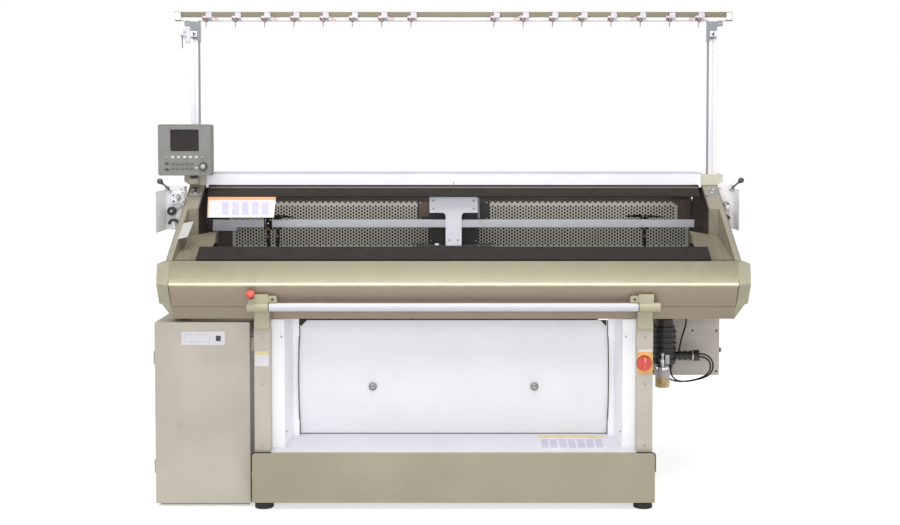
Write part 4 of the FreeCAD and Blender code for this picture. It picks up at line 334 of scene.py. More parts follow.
def bump(tree: Tree, height: Socket, deep: float, strength: float) -> Socket:
    """Relief deep millimetres high."""
    return node(tree, "Bump", {"Height": height, "Distance": deep * MM,
                               "Strength": strength}).outputs["Normal"]


def stretched(tree: Tree, where: Socket, scale: tuple) -> Socket:
    """Coordinates drawn out along an axis."""
    return node(tree, "Mapping", {"Vector": where, "Scale": scale}).outputs["Vector"]


@dataclass(frozen=True)
class Finish:
    """A named surface: its colour and how dull it is."""

    name: str
    colour: str
    roughness: float = 0.45

    def scaled(self, factor: float) -> str:
        """Its colour made lighter or darker, as a hex value."""
        values = [int(self.colour[start:start + 2], 16) * factor for start in (1, 3, 5)]
        return "#" + "".join(f"{min(255, round(value)):02x}" for value in values)

    def tone(self, tree: Tree, pattern: Socket, dark: float, light: float) -> Socket:
        """Its colour between a darker and a lighter share by a pattern."""
        return mixed(tree, pattern, self.scaled(dark), self.scaled(light))

    def cloud(self, tree: Tree, where: Socket, spacing: float, detail: float, dark: float,
              light: float, top: float = 1) -> Socket:
        """Its colour with soft clouds that reach the share top of the lighter one."""
        pattern = spread(tree, noise(tree, where, spacing, detail), 0, top)
        return self.tone(tree, pattern, dark, light)

    def dress(self, tree: Tree, where: Socket) -> dict:
        """What this finish gives the shader's inputs, by name."""
        return {}

    def build(self) -> bpy.types.Material:
        """Make the Blender material, or return it if it is there."""
        made = bpy.data.materials.get(self.name)
        if not made:
            made = bpy.data.materials.new(self.name)
            made.use_nodes = True
            tree = made.node_tree
            shader = next(n for n in tree.nodes if n.type == "BSDF_PRINCIPLED")
            where = node(tree, "TexCoord").outputs["Object"]
            give(tree, shader, {"Base Color": linear(self.colour), "Roughness": self.roughness})
            give(tree, shader, self.dress(tree, where))
        return made


@dataclass(frozen=True)
class PowderCoat(Finish):
    """Baked powder coat on sheet steel: satin, with a soft orange peel and slow drift of tone."""

    peel: float = 2.4          # spacing of the orange peel, drawn coarse enough to show
    deep: float = 0.05
    drift: float = 0.035       # how far the tone wanders over a panel
    # painted shade: how much darker ambient occlusion paints the inner corners
    corner_shade: float = 0.16         # how much darker the inner corners are

    def dress(self, tree: Tree, where: Socket) -> dict:
        """Tone drift, painted shade in the inner corners, uneven gloss and orange peel."""
        tone = self.cloud(tree, where, 260, 3, 1 - self.drift, 1 + self.drift)
        # painted shade: ambient occlusion darkens the colour in inner corners
        corner = node(tree, "AmbientOcclusion", {"Distance": 14 * MM}, samples=4).outputs["AO"]
        shade = spread(tree, corner, 1 - self.corner_shade, 1, 0.35, 0.9)
        return {"Base Color": node(tree, "VectorMath", {"Vector": tone, "Scale": shade},
                                   operation="SCALE").outputs["Vector"],
                "Roughness": spread(tree, noise(tree, where, 45), self.roughness - 0.05,
                                    self.roughness + 0.05),
                "Normal": bump(tree, noise(tree, where, self.peel, 1), self.deep, 0.35)}


@dataclass(frozen=True)
class Champagne(PowderCoat):
    """Enamel with fine metal flake: dull from the side, one long bright line where it bends."""

    flake: float = 0.34
    under: str = "#8a7d6d"     # painted shade: browner and darker where the enamel faces the floor

    def dress(self, tree: Tree, where: Socket) -> dict:
        """The coat's own nodes, its painted shade on downward faces and its metallic share."""
        coat = super().dress(tree, where)
        # painted shade: faces that point down get the darker, browner colour
        normal = node(tree, "NewGeometry").outputs["Normal"]
        upright = node(tree, "SeparateXYZ", {0: normal}).outputs["Z"]
        share = spread(tree, upright, 0, 1, -0.45, -0.1)
        return coat | {"Base Color": mixed(tree, share, self.under, coat["Base Color"]),
                       "Metallic": self.flake}


@dataclass(frozen=True)
class Moulded(Finish):
    """Injection-moulded plastic: even colour with the fine spark texture of the mould."""

    grain: float = 1.2         # spacing of the mould's texture
    deep: float = 0.03
    coat: float = 0

    def dress(self, tree: Tree, where: Socket) -> dict:
        """Faint flow marks in the tone and the mould's grain."""
        return {"Base Color": self.cloud(tree, where, 60, 2, 0.97, 1.03), "IOR": 1.53,
                "Coat Weight": self.coat,
                "Normal": bump(tree, noise(tree, where, self.grain), self.deep, 0.3)}


ALONG_X, EVENLY = (0.02, 1, 1), (1, 1, 1)     # how a metal's streaks are drawn out


@dataclass(frozen=True)
class BareMetal(Finish):
    """Brushed, ground or plated metal: fine streaks that blur what it reflects."""

    grain: tuple = ALONG_X
    streak: float = 1.1             # spacing of the streaks, drawn coarse enough to show
    deep: float = 0.02
    contrast: float = 0.07

    def dress(self, tree: Tree, where: Socket) -> dict:
        """Streaks in tone, gloss and relief."""
        grain = noise(tree, stretched(tree, where, self.grain), self.streak, 3)
        tone = self.tone(tree, spread(tree, grain, 0, 1), 1 - self.contrast, 1 + self.contrast)
        return {"Base Color": tone, "Metallic": 1,
                "Roughness": spread(tree, grain, self.roughness * 0.85, self.roughness * 1.15),
                "Normal": bump(tree, grain, self.deep, 0.4)}


class CastPaint(Finish):
    """Painted sand casting: a coarse pebbled skin under dull paint."""

    def dress(self, tree: Tree, where: Socket) -> dict:
        """Blotches of tone and the pebbled relief."""
        return {"Base Color": self.cloud(tree, where, 80, 4, 0.9, 1.08),
                "Normal": bump(tree, noise(tree, where, 3.5, 3), 0.25, 0.5)}


@dataclass(frozen=True)
class Rubber(Finish):
    """Moulded rubber: dull, slightly dusty and without a clear highlight."""

    dust: float = 0.25

    def dress(self, tree: Tree, where: Socket) -> dict:
        """Patches of dust and a fine tooth."""
        tooth = bump(tree, noise(tree, where, 0.9), 0.05, 0.4)
        return {"Base Color": self.cloud(tree, where, 18, 4, 1, 2.2, self.dust),
                "Specular IOR Level": 0.35, "Normal": tooth}


@dataclass(frozen=True)
class ClearAcrylic(Finish):
    """Cast acrylic pane: clear with a faint grey cast, light haze and hairline wipe marks."""

    alpha: float = 0.16

    def dress(self, tree: Tree, where: Socket) -> dict:
        """See-through share and wipe marks in the gloss."""
        marks = noise(tree, stretched(tree, where, (0.15, 1, 1)), 30, 5)
        return {"IOR": 1.49,
                "Roughness": spread(tree, marks, self.roughness * 0.6, self.roughness * 1.8),
                "Alpha": spread(tree, noise(tree, where, 220), self.alpha * 0.85,
                                self.alpha * 1.15)}


class Liquid(Finish):
    """Oil seen through the wall of its cup: deep amber that light passes through."""

    def dress(self, tree: Tree, where: Socket) -> dict:
        """Depth of tone and a wet surface."""
        return {"Base Color": self.cloud(tree, where, 25, 1, 0.85, 1.12), "IOR": 1.47,
                "Subsurface Weight": 0.35, "Subsurface Radius": (0.02, 0.01, 0.004),
                "Coat Weight": 0.6}


class Display(Finish):
    """Switched-off liquid crystal screen behind glass: near black with a fine dot grid."""

    DOT = 0.9                  # width of the dots, drawn coarser than the real 0.25

    def dress(self, tree: Tree, where: Socket) -> dict:
        """The dot grid and the glass over it."""
        dots = node(tree, "TexChecker", {
            "Vector": where, "Scale": 1 / (self.DOT * MM), "Color1": linear(self.colour),
            "Color2": linear(self.scaled(1.1))}).outputs["Color"]
        return {"Base Color": dots, "Specular IOR Level": 0.25, "Coat Weight": 0.15,
                "Coat Roughness": 0.05}


class NeedleSteel(Finish):
    """Ground tool steel with needle tricks milled across it."""

    PITCH = 4                  # drawn wider apart than the real tricks, so that they show

    def dress(self, tree: Tree, where: Socket) -> dict:
        """Tricks painted dark as the shade in the grooves, between bright ground walls."""
        wave = node(tree, "TexWave", {"Vector": where, "Scale": math.tau / 20 / (self.PITCH * MM),
                                      "Distortion": 0}, bands_direction="X").outputs["Fac"]
        return {"Base Color": self.tone(tree, wave, 0.45, 1.1), "Metallic": 1,
                "Normal": bump(tree, wave, 0.8, 0.6)}


class Coat:
    """Every finish of the machine: most named for the real material, a few for the painted shade
    and sheen that they stand for.
    """

    # Beige sheet steel of the legs: satin, slightly warm.
    LEGS = PowderCoat("powder_coated_leg_steel", "#c2bbae", 0.5)
    # The beam is smoother than the legs, so its nose carries one long clear highlight.
    BEAM = Champagne("champagne_beam_enamel", "#857f69", 0.38, 3.2, 0.012, 0, 0.04)
    # Olive brown enamel of the sloped end housings, seen beside and under the pane.
    DECK = PowderCoat("olive_brown_housing_enamel", "#857c69", 0.5)
    # Beige castings on the front: the same tone as the beam without its metal flake.
    BRACKET = PowderCoat("beige_enamelled_bracket", "#b6b096", 0.45)
    BASE = PowderCoat("cream_enamelled_mast_base", "#cfcbb9", 0.45)
    # Lavender grey that paints the shade on white parts: along the top beam's upper edge and on
    # the left mast guide's discs.
    LAVENDER = PowderCoat("lavender_shaded_edge", "#cfcdda", 0.45)
    # Moulded end caps: the same beige, duller.
    CAPS = Moulded("painted_abs_end_cap", "#a59f88", 0.42, 1.6)
    # Olive grey cheeks, duller and darker than the beam.
    CHEEKS = PowderCoat("olive_enamelled_cheek_casting", "#928b7a", 0.5, 2.6, 0.05, 0.03, 0.2)
    CABINET = PowderCoat("textured_powder_coat_cabinet", "#bdb7aa", 0.55, 1.8, 0.06)
    KICK = PowderCoat("powder_coated_kick_plate", "#a39c88", 0.5)
    WHITE = PowderCoat("white_enamelled_sheet", "#f6f6fb", 0.4, 3, 0.03, 0.012, 0.12)
    TRAY = PowderCoat("white_enamelled_tray", "#d4d3db", 0.45, 3, 0.03, 0.012, 0.12)
    REAR = PowderCoat("beige_rear_sheet", "#bdb699", 0.45)
    SCREEN = PowderCoat("painted_perforated_steel", "#cfcec1", 0.6, 2, 0.02, 0.03, 0.1)
    # Darker colour for the screen's plain margin and fold: painted shade on the same sheet.
    SCREEN_MARGIN_SHADE = PowderCoat("screen_margin_painted_shade", "#5f5047", 0.7, 2, 0.02, 0.03, 0.3)
    # Dark sheet that paints shade: seen through the screen's holes and on the hood's inner walls.
    SHADE_SHEET = Rubber("dark_sheet_painted_shade", "#3a2f29", 0.95, 0.06)
    BROWN = PowderCoat("brown_terminal_cover", "#6b5a4e", 0.5)
    # Dark joint lines, and painted shade in the cover's gaps, in holes and in slots.
    JOINT_AND_GAP_SHADE = Rubber("dark_joint_and_gap_shade", "#4a463d", 0.9, 0.05)
    BRONZE = BareMetal("bronze_anodised_bead", "#8f8377", 0.4)
    # The fabric and thread rails are painted far paler than the satin aluminium below: a painted
    # sheen that keeps them bright in the shade of the hood.
    RAIL = BareMetal("anodised_rail_painted_sheen", "#dcdce4", 0.45)
    SILVER = BareMetal("satin_anodised_aluminium", "#83848c", 0.42)
    BRIDGE = PowderCoat("lavender_grey_enamelled_casting", "#f3f5ff", 0.35, 3, 0.04, 0.02, 0.15)
    CAM = PowderCoat("matt_black_cam_casting", "#2b2826", 0.5, 2, 0.08, 0.06, 0.3)
    GIRDER = CastPaint("painted_cast_iron_girder", "#6d6a62", 0.6)
    BEDS = NeedleSteel("ground_needle_bed_steel", "#8d8d8b", 0.34)
    GUIDES = BareMetal("ground_guide_steel", "#a9a9a9", 0.28)
    MOTOR = PowderCoat("black_motor_enamel", "#2a2927", 0.42, 2.2, 0.06, 0.06, 0.2)
    BELT = Rubber("toothed_belt_rubber", "#1c1b1a", 0.8)
    ROLLER = Rubber("lagged_roller_rubber", "#4b4a48", 0.75)
    CARRIER = BareMetal("black_oxide_carrier_steel", "#231d1a", 0.4, EVENLY)
    PANE = ClearAcrylic("cast_acrylic_pane", "#3a3a39", 0.12, 0.05)
    BLACK_BAND = PowderCoat("black_anodised_window_rail", "#1c1511", 0.8, 2.4, 0.03, 0.05, 0.1)
    MAST = PowderCoat("white_coated_extrusion", "#eeeef3", 0.4, 3, 0.03, 0.012, 0.12)
    BRACKET_GREY = PowderCoat("grey_bracket_enamel", "#8e9096", 0.45)
    GREY_STRIP = PowderCoat("grey_slot_cover", "#a19fa8", 0.5)
    OLIVE_RAIL = PowderCoat("olive_enamelled_rail", "#827b67", 0.45)
    TENSIONER = Moulded("white_acetal_clip", "#d5d2e0", 0.3, 0.8, 0.02, 0.2)
    TENSIONER_PINK = Moulded("pink_acetal_arm", "#d3b4b2", 0.35, 0.8, 0.02, 0.2)
    TENSIONER_RED = Moulded("red_brown_acetal_wheel", "#7f544e", 0.35, 0.8, 0.02, 0.2)
    PANEL = Moulded("grey_abs_panel_housing", "#868682", 0.5)
    KEY = Moulded("pale_silicone_key", "#d6d4cd", 0.5, 0.8)
    KEY_PINK = Moulded("pinkish_silicone_key", "#a8948f", 0.5, 0.8)
    KEY_GREY = Moulded("grey_membrane_key", "#6c6b66", 0.5, 0.8)
    DARK_KEY = Moulded("dark_silicone_key", "#4c4944", 0.5, 0.8)
    DIAL = Moulded("dark_abs_dial", "#5d5b58", 0.4)
    GLASS = Display("liquid_crystal_display", "#2b2725", 0.4)
    ARM = PowderCoat("dark_enamelled_arm", "#4a4743", 0.45)
    STAND = PowderCoat("cream_enamelled_stand", "#efedef", 0.42)
    KNOB = Moulded("grey_phenolic_ball", "#3b403d", 0.25, 1, 0, 0.4)
    CHROME = BareMetal("chrome_plated_steel", "#d0d0d0", 0.1, EVENLY, 3, 0, 0.02)
    STOP = Moulded("red_polycarbonate_mushroom", "#d8503f", 0.3, 1, 0.01, 0.3)
    STOP_DARK = Moulded("dark_red_neck", "#7a2c25", 0.4, 1)
    SWITCH_YELLOW = Moulded("yellow_switch_plate", "#f2b861", 0.35, 1)
    SWITCH_RED = Moulded("red_switch_knob", "#d9574b", 0.32, 1)
    FOOT = Rubber("foot_rubber", "#3c3a37", 0.8)
    ZINC = BareMetal("zinc_plated_steel", "#a8a8a6", 0.34, EVENLY, 8)
    BOX = PowderCoat("grey_beige_box_enamel", "#cdc6ba", 0.48)
    CUP = Moulded("frosted_oil_cup", "#b7b4b2", 0.25, 2, 0, 0.5)
    OIL = Liquid("amber_machine_oil", "#cfab78", 0.15)
    CABLE = Rubber("pvc_cable_sheath", "#1d1c1a", 0.5, 0.1)
    LABEL = Moulded("white_polyester_label", "#dad8de", 0.35, 1.5, 0)
    LABEL_YELLOW = Moulded("pale_yellow_printed_film", "#dcc994", 0.35, 1.5, 0)
    LABEL_ORANGE = Moulded("orange_printed_film", "#e0a578", 0.35, 1.5, 0)
    LABEL_GREY = Moulded("grey_printed_film", "#b9b8b4", 0.35, 1.5, 0)
    LABEL_TINT = Moulded("lavender_printed_film", "#c3c0d2", 0.35, 1.5, 0)
    LABEL_DARK = Moulded("dark_printed_film", "#3b3a38", 0.35, 1.5, 0)


# ---------------------------------------------------------------- cables
class Cables:
    """Two black cables that loop from the suction unit's socket to its lower glands."""

    DIAMETER = 8
    LENGTH = 0.39                  # metres, the same for both
    ROUTES = {
        "front": ((1186, 522, 606), (1212, 522, 606), (1238, 520, 591), (1253, 517, 565),
                  (1253, 514, 535), (1238, 511, 509), (1212, 509, 494), (1168, 509, 482),
                  (1128, 512, 474.5), (1088.2, 517, 473.8), (1064, 520, 487.8), (1050, 522, 512),
                  (1050, 522, 540)),
        "rear": ((1186, 536, 590), (1210, 536, 590), (1233.4, 538, 576.5), (1246.9, 541, 553.1),
                 (1246.9, 544, 526.1), (1233.4, 546, 502.7), (1210, 546, 487.5),
                 (1172, 545, 474.8), (1128.4, 541, 469), (1096, 536, 468.5), (1064.2, 530, 473.8),
                 (1040, 525, 487.8), (1026, 522, 512), (1026, 522, 540))}

    def build(self) -> None:
        """Make both cables."""
        for side, route in self.ROUTES.items():
            data = bpy.data.curves.new(side + "_loop_cable", "CURVE")
            data.dimensions = "3D"
            data.bevel_depth = self.DIAMETER / 2 * MM
            data.bevel_resolution, data.resolution_u = 5, 12
            data.use_fill_caps = True
            spline = data.splines.new("NURBS")
            spline.points.add(len(route) - 1)
            for point, corner in zip(spline.points, route):
                point.co = (*at(*corner), 1)
            spline.order_u = 3
            spline.use_endpoint_u = True
            data.materials.append(Coat.CABLE.build())
            piece = bpy.data.objects.new(data.name, data)
            bpy.context.scene.collection.objects.link(piece)
            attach(piece, "machine")
            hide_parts(side + "_cable")
            LOG.info("cable %s: %.3f m", data.name, self.LENGTH)


# ---------------------------------------------------------------- hood
class PerforatedScreen:
    """Rear screen: perforated sheet, plain frame and folded top in a darker colour that paints
    their shade, a dark sheet behind it that paints the shade seen through the holes, and a rear
    sheet.
    """

    DEPTH = 720
    HALF = 1181
    PITCH = 16                     # from hole to hole
    HOLE = 5.6
    ACROSS = PITCH * math.sqrt(3) / 2
    CORNER = PITCH / math.sqrt(3)
    LOW, HIGH = 1108, 1316
    STEP = 1224                    # height at which the pierced part changes its width
    UPPER, LOWER = (-1107, 1107), (-1082, 1162)

    def pierced(self, x: float, z: float) -> bool:
        """Whether the sheet has a hole at this place."""
        left, right = self.UPPER if z > self.STEP else self.LOWER
        return left < x < right and self.LOW < z < self.HIGH

    def cells(self) -> list[tuple[float, float, bool]]:
        """Middles of the sheet's hexagons; blank ones only surround the pierced part."""
        found = []
        last = int(self.HALF / self.ACROSS)
        for column in range(-last, last + 1):
            for row in range(-1, 15):
                x = column * self.ACROSS
                z = self.LOW + self.PITCH * (row + (1 if column % 2 else 0.5))
                if self.pierced(x, z) or any(self.pierced(x + b, z + a)
                                             for a, b in circle(6, self.PITCH)):
                    found.append((x, z, self.pierced(x, z)))
        return found

    def sheet(self, forge: Forge, cells: Sequence[tuple[float, float, bool]]) -> None:
        """Add the hexagons, each with a round hole two millimetres deep or blank."""
        shared: dict[tuple[int, int], bmesh.types.BMVert] = {}

        def vertex(x: float, z: float) -> bmesh.types.BMVert:
            """Corner shared by the hexagons that meet in it."""
            key = (round(x * 4), round(z * 4))
            if key not in shared:
                shared[key] = forge.vertex((x, self.DEPTH, z))
            return shared[key]

        for x, z, open_cell in cells:
            edge = [vertex(a, b) for a, b in circle(6, self.CORNER, (x, z))]
            if not open_cell:
                forge.face(edge)
                continue
            front, back = [[forge.vertex((a, depth, b)) for a, b in circle(12, self.HOLE, (x, z))]
                           for depth in (self.DEPTH, self.DEPTH + 2)]
            for k in range(6):
                forge.face((edge[k], edge[(k + 1) % 6], front[(2 * k + 2) % 12],
                            front[2 * k + 1], front[2 * k]))
            for k in range(12):
                forge.face((front[k], front[(k + 1) % 12], back[(k + 1) % 12], back[k]))

    def frame_hole(self, cells: Sequence[tuple[float, float, bool]]) -> list[Pair]:
        """Opening in the frame: through the middle of the blank hexagons round the holes."""
        holes = [(x, z) for x, z, open_cell in cells if open_cell]
        above = [spot for spot in holes if spot[1] > self.STEP]
        below = [spot for spot in holes if spot[1] <= self.STEP]
        (left_up, right_up), (left_low, right_low) = [
            (min(rows)[0] - self.ACROSS, max(rows)[0] + self.ACROSS) for rows in (above, below)]
        bottom, top = min(z for _, z in holes) - 10, max(z for _, z in holes) + 10
        left_step, right_step = min(z for _, z in above) - 10, max(z for _, z in below) + 10
        return [(left_low, bottom), (right_low, bottom), (right_low, right_step),
                (right_up, right_step), (right_up, top), (left_up, top), (left_up, left_step),
                (left_low, left_step)]

    def build(self) -> None:
        """Make the screen."""
        forge, half, depth = Forge(), self.HALF, self.DEPTH
        cells = self.cells()
        self.sheet(forge, cells)
        # frame, fold and edge slab: painted shade, darker than the pierced sheet
        forge.paint = 1
        forge.plate(rectangle((-half, 1094), (half, 1340)), self.frame_hole(cells),
                    (depth + 0.8, depth + 2))
        forge.prism(Plane.SIDE, [(722, 1339), (642, 1428), (642, 1454), (640.5, 1454),
                                 (640.5, 1427), (720.5, 1338)], -half, half)
        forge.slab((1161, 1166), (depth - 1.5, depth + 0.8), (1225, 1339))
        # dark sheet behind the holes: painted shade seen through them
        forge.paint = 2
        forge.slab((8 - half, half - 8), (724, 736), (1097, 1319))
        forge.paint = 3
        forge.slab((-half, half), (736.2, 737.6), (1094.5, 1321.5))
        piece = forge.make("perforated_screen_sheet", "screen_paint", Coat.SCREEN,
                           Coat.SCREEN_MARGIN_SHADE, Coat.SHADE_SHEET, Coat.REAR)
        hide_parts("perforated_screen")


RISE = 308.5 / 480                      # of the cheeks' slope
SLOPE_UP = Vector((0, 1, RISE)).normalized()
SLOPE_OUT = Vector((0, -RISE, 1)).normalized()


def slope(depth: float, off: float = 0) -> Pair:
    """Point on a cheek's sloped edge at a depth, or so much above it."""
    return depth, 1111 + RISE * (depth - 20) + off


class Cheeks:
    """Dark sheets that paint the shade on the hood's inner walls, hinge blocks, edge strips and a
    bare label plate on the side cheeks.
    """

    INNER = 1190

    def build(self) -> None:
        """Make the painted-shade sheets and the fittings."""
        forge = Forge()
        # dark sheets on the hood's inner walls: painted shade
        forge.prism(Plane.SIDE, [(350, 1100), (717, 1100), (717, 1338), (640, 1420), (500, 1416),
                                 slope(350, -6)], self.INNER - 1.4, self.INNER - 0.1)
        forge.slab((self.INNER - 16, self.INNER - 0.2), (738.3, 740), (1095, 1345))
        forge.slab((self.INNER - 10, self.INNER - 0.2), (716, 719.5), (1095, 1336))
        forge.mirrored()
        forge.make("hood_side_painted_shade", "window_black", Coat.SHADE_SHEET)

        blocks = Forge()
        for x, depth in ((1228, 452), (1240, 474)):
            blocks.disc(Vector((x, *slope(depth))) - SLOPE_OUT * 2, 8, 9, 1.5, 24, SLOPE_OUT)
        blocks.prism(Plane.SIDE, [slope(436, -1), slope(488, -1), slope(486, 5), slope(438, 5)],
                     1212, 1252)
        blocks.disc((1199, *slope(430, -1)), 5, 12, 1, 20, SLOPE_OUT)
        blocks.mirrored()
        blocks.make("window_hinge_blocks", "silver_aluminium", Coat.CHROME, bevel=0.8)

        label = Forge()
        face = [Vector((x, *slope(depth))) for x, depth in
                ((-1243, 150), (-1200, 165), (-1194, 262), (-1236, 252))]
        label.rings([[spot + SLOPE_OUT * off for spot in face] for off in (-1, 1.2)])
        label.make("cheek_label_place", "frame_paint", Coat.LABEL_GREY)

        strips = Forge()
        for x in (1192, 1262):
            strips.prism(Plane.SIDE, [slope(30, -0.3), slope(478, -0.3), slope(478, 0.9),
                                      slope(30, 0.9)], x - 1.2, x + 1.2)
        strips.mirrored()
        strips.make("cheek_edge_strips", "frame_paint", Coat.SILVER)
        bolts = Forge()
        for x in (1200, 1242, 1284):
            bolts.disc((x, 580, 1474), 5.5, 3, 0.8, 20, UP)
        bolts.mirrored()
        bolts.make("mast_base_bolts", "mast_aluminium", Coat.ZINC)


class WindowTrim:
    """What the window carries besides pane and rails: bronze bead and printed film."""

    def patch(self, forge: Forge, left: Pair, right: Pair, up: Pair, off: Pair) -> None:
        """Add a flat piece whose ends may lean.

        Args:
            forge: what it is added to.
            left: X of its left edge, below and above.
            right: X of its right edge, below and above.
            up: where it starts and ends up the slope.
            off: height of its lower and upper face off the pane.
        """
        corners = ((left[0], up[0]), (right[0], up[0]), (right[1], up[1]), (left[1], up[1]))
        forge.rings([[Vector((x, 26, 1117.2)) + SLOPE_UP * rise + SLOPE_OUT * level
                      for x, rise in corners] for level in off])

    def build(self) -> None:
        """Make the trim."""
        forge = Forge()
        self.patch(forge, (-1164, -1164), (1164, 1164), (537, 546), (3.8, 5.2))
        forge.make("window_bead", "window_black", Coat.BRONZE, body="window", bevel=0.4)
        film = Forge()
        self.patch(film, (-1134, -1155), (-829, -837), (308, 444), (0.1, 0.5))
        film.paint = 1
        self.patch(film, (-1155, -1160), (-837, -839), (444, 470), (0.1, 0.55))
        self.patch(film, (-1135.5, -1156.5), (-1130, -1151), (308, 444), (0.1, 0.6))
        film.paint = 2
        for left in range(-1072, -887, 46):
            self.patch(film, (left, left * 1.014), (left + 32, (left + 32) * 1.014), (330, 430),
                       (0.4, 0.65))
        film.make("bare_window_label", "window_acrylic", Coat.LABEL, Coat.LABEL_ORANGE,
                  Coat.LABEL_TINT, body="window")


class YarnRails:
    """Three bright yarn rails on black end brackets, and what the yarn carriers hold."""

    END = 1156
    LOW, HIGH = 1221, 1257
    # Of each carrier: its place, its rail's depth, its wing's place and half width.
    CARRIERS = {"carrier_1": (-890, 504, -872, 62), "carrier_2": (-846, 520, -835, 66),
                "carrier_3": (922, 536, 922, 94)}

    def wing(self, body: str, x: float, middle: float, half: float) -> None:
        """Make the thin wing on top of a carrier."""
        wing = Forge()
        outline = rounded([(x - half, 1269, 2), (x - half, 1275, 2), (x - half * 0.3, 1281, 8),
                           (x + half * 0.3, 1278, 8), (x + half, 1270, 2), (x + half, 1266.5, 1),
                           (x + half * 0.2, 1266.5, 6), (x - half * 0.5, 1266.5, 6)])
        wing.prism(Plane.FRONT, outline, middle - 5, middle + 5)
        wing.paint = 1
        for place in (x - 9, x + 9):
            wing.disc((place, middle - 5, 1273), 3.2, 2, 0.5, 16)
        wing.make(body + "_yarn_wing", "carrier_metal", Coat.CARRIER, Coat.CHROME, body=body,
                  bevel=0.6)

    def fittings(self, body: str, x: float, middle: float) -> None:
        """Make a carrier's feeder eyes, spring and buttons."""
        face = middle - 6.5
        forge = Forge()
        for place, z, radius in ((x - 11, 1257, 3.4), (x + 11, 1257, 3.4), (x, 1240, 5)):
            forge.disc((place, face + 0.2, z), radius, 2.4, 0.5, 20)
        forge.tube([(x - 12, face - 0.8, 1262), (x - 10, face - 0.8, 1215),
                    (x - 4, face - 0.8, 1168)], 1.3, 8)
        forge.paint = 1
        for z, radius in ((1214, 7), (1177, 6)):
            forge.disc((x, face + 1, z), radius, 3.4, 1.2, 24)
        forge.make(body + "_fittings", "carrier_metal", Coat.CHROME, Coat.TENSIONER_RED, body=body)

    def build(self) -> None:
        """Make the rails, their brackets and the carriers' details."""
        forge = Forge()
        for middle in (504, 520, 536):
            forge.slab((-self.END, self.END), (middle - 2.5, middle + 2.5), (self.LOW, self.HIGH))
        forge.slab((-self.END, -1041), (501.5, 506.5), (1204, self.LOW + 0.5))
        forge.paint = 1
        forge.slabs((self.END - 2, 1189.5), (496, 544), (1225, 1253))
        piece = forge.make("yarn_rail_set", "silver_aluminium", Coat.RAIL, Coat.CAM, bevel=0.8)
        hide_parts("yarn_rails")
        for body, (x, middle, wing_x, half) in self.CARRIERS.items():
            self.wing(body, wing_x, middle, half)
            self.fittings(body, x, middle)


# ---------------------------------------------------------------- carriage
class CarriageBridge:
    """Cast bridge over the yarn rails: lavender front arm, dark rear arm and terminal box."""

    FRONT = 474
    REAR = 575
    PLATE = 18
    TOP = 1367

    def front_arm(self) -> None:
        """Make the T-shaped arm with its raised rim, label place and small grey fittings."""
        forge, back = Forge(), self.FRONT + self.PLATE
        outline = rounded([(-38, 1136.2), (38, 1136.2), (38, 1293, 17), (115, 1293, 3),
                           (115, self.TOP, 5), (-115, self.TOP, 5), (-115, 1293, 3),
                           (-38, 1293, 17)])
        forge.prism(Plane.FRONT, outline, self.FRONT + 0.6, back)
        recess = rounded([(-29, 1150, 3), (29, 1150, 3), (29, 1303, 15), (106, 1303, 3),
                          (106, 1336, 3), (-106, 1336, 3), (-106, 1303, 3), (-29, 1303, 15)])
        forge.plate(outline, recess, (self.FRONT, self.FRONT + 1))
        forge.slab((-115, 115), (back, self.REAR + 17), (self.TOP - self.PLATE, self.TOP - 0.3))
        forge.slabs((100, 114), (back, self.REAR), (self.TOP - 46, self.TOP - self.PLATE + 1))
        forge.paint = 1
        for x, z, radius in ((96, 1351, 4.5), (96, 1312, 4), (20, 1162, 4)):
            for side in SIDES:
                forge.disc((side * x, self.FRONT + 0.6, z), radius, 3, 0.6, 20)
        forge.slab((117, 124), (self.FRONT + 4, self.FRONT + 7), (1266, 1366))
        forge.slab((112, 122), (self.FRONT + 7, self.FRONT + 16), (1300, 1340))
        piece = forge.make("bridge_front_arm", "bridge_paint", Coat.BRIDGE, Coat.BRACKET_GREY,
                           body="carriage", bevel=1.2)
        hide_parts("carriage_bridge")

    def rear_arm(self) -> None:
        """Make the rear arm with its terminal box and cover screws."""
        forge, rear = Forge(), self.REAR
        forge.prism(Plane.FRONT, rounded([
            (-122, 1136.2), (122, 1136.2), (122, 1246), (175, 1246, 5), (175, 1348.5, 5),
            (-175, 1348.5, 5), (-175, 1246, 5), (-122, 1246)]), rear + 2, rear + self.PLATE)
        for low, high in (((-170, 1251), (-6, 1343)), ((6, 1251), (170, 1343)),
                          ((-116, 1142), (116, 1240))):
            forge.card(low, high, 4, (rear + 0.6, rear + 3))
        forge.paint = 1
        forge.screws(4, [(x, rear + 0.5, z) for x, z in (
            (-162, 1259), (-162, 1335), (162, 1259), (162, 1335), (-14, 1259), (14, 1335),
            (-108, 1150), (108, 1150))])
        forge.paint = 2
        forge.card((-168, 1268), (-118, 1338), 2, (rear + 0.2, rear + 1))
        forge.make("bridge_rear_arm", "cam_paint", Coat.CAM, Coat.ZINC, Coat.BROWN,
                   body="carriage", bevel=0.8)

    def cam_details(self) -> None:
        """Make the front cam box's bright lower edge, cover plates, screws and key."""
        forge = Forge()
        forge.slabs((58, 194), (438, 441), (1136.2, 1138.6))
        forge.paint = 1
        for x in (-150, -90, 90, 150):
            forge.slab((x - 26, x + 26), (445, 492), (1136, 1138))
        forge.paint = 2
        for x in (-182, -120, -60, 60, 120, 182):
            forge.disc((x, 468, 1136), 5, 3.4, 0.8, 20, UP)
        forge.paint = 3
        forge.disc((-80, 470, 1138), 11, 6, 2, 28, Vector((0, -0.5, 1)))
        forge.make("front_cam_fittings", "cam_paint", Coat.SILVER, Coat.CAM, Coat.CHROME,
                   Coat.KEY, body="carriage", bevel=0.4)

    def build(self) -> None:
        """Make the bridge."""
        self.front_arm()
        self.rear_arm()
        self.cam_details()


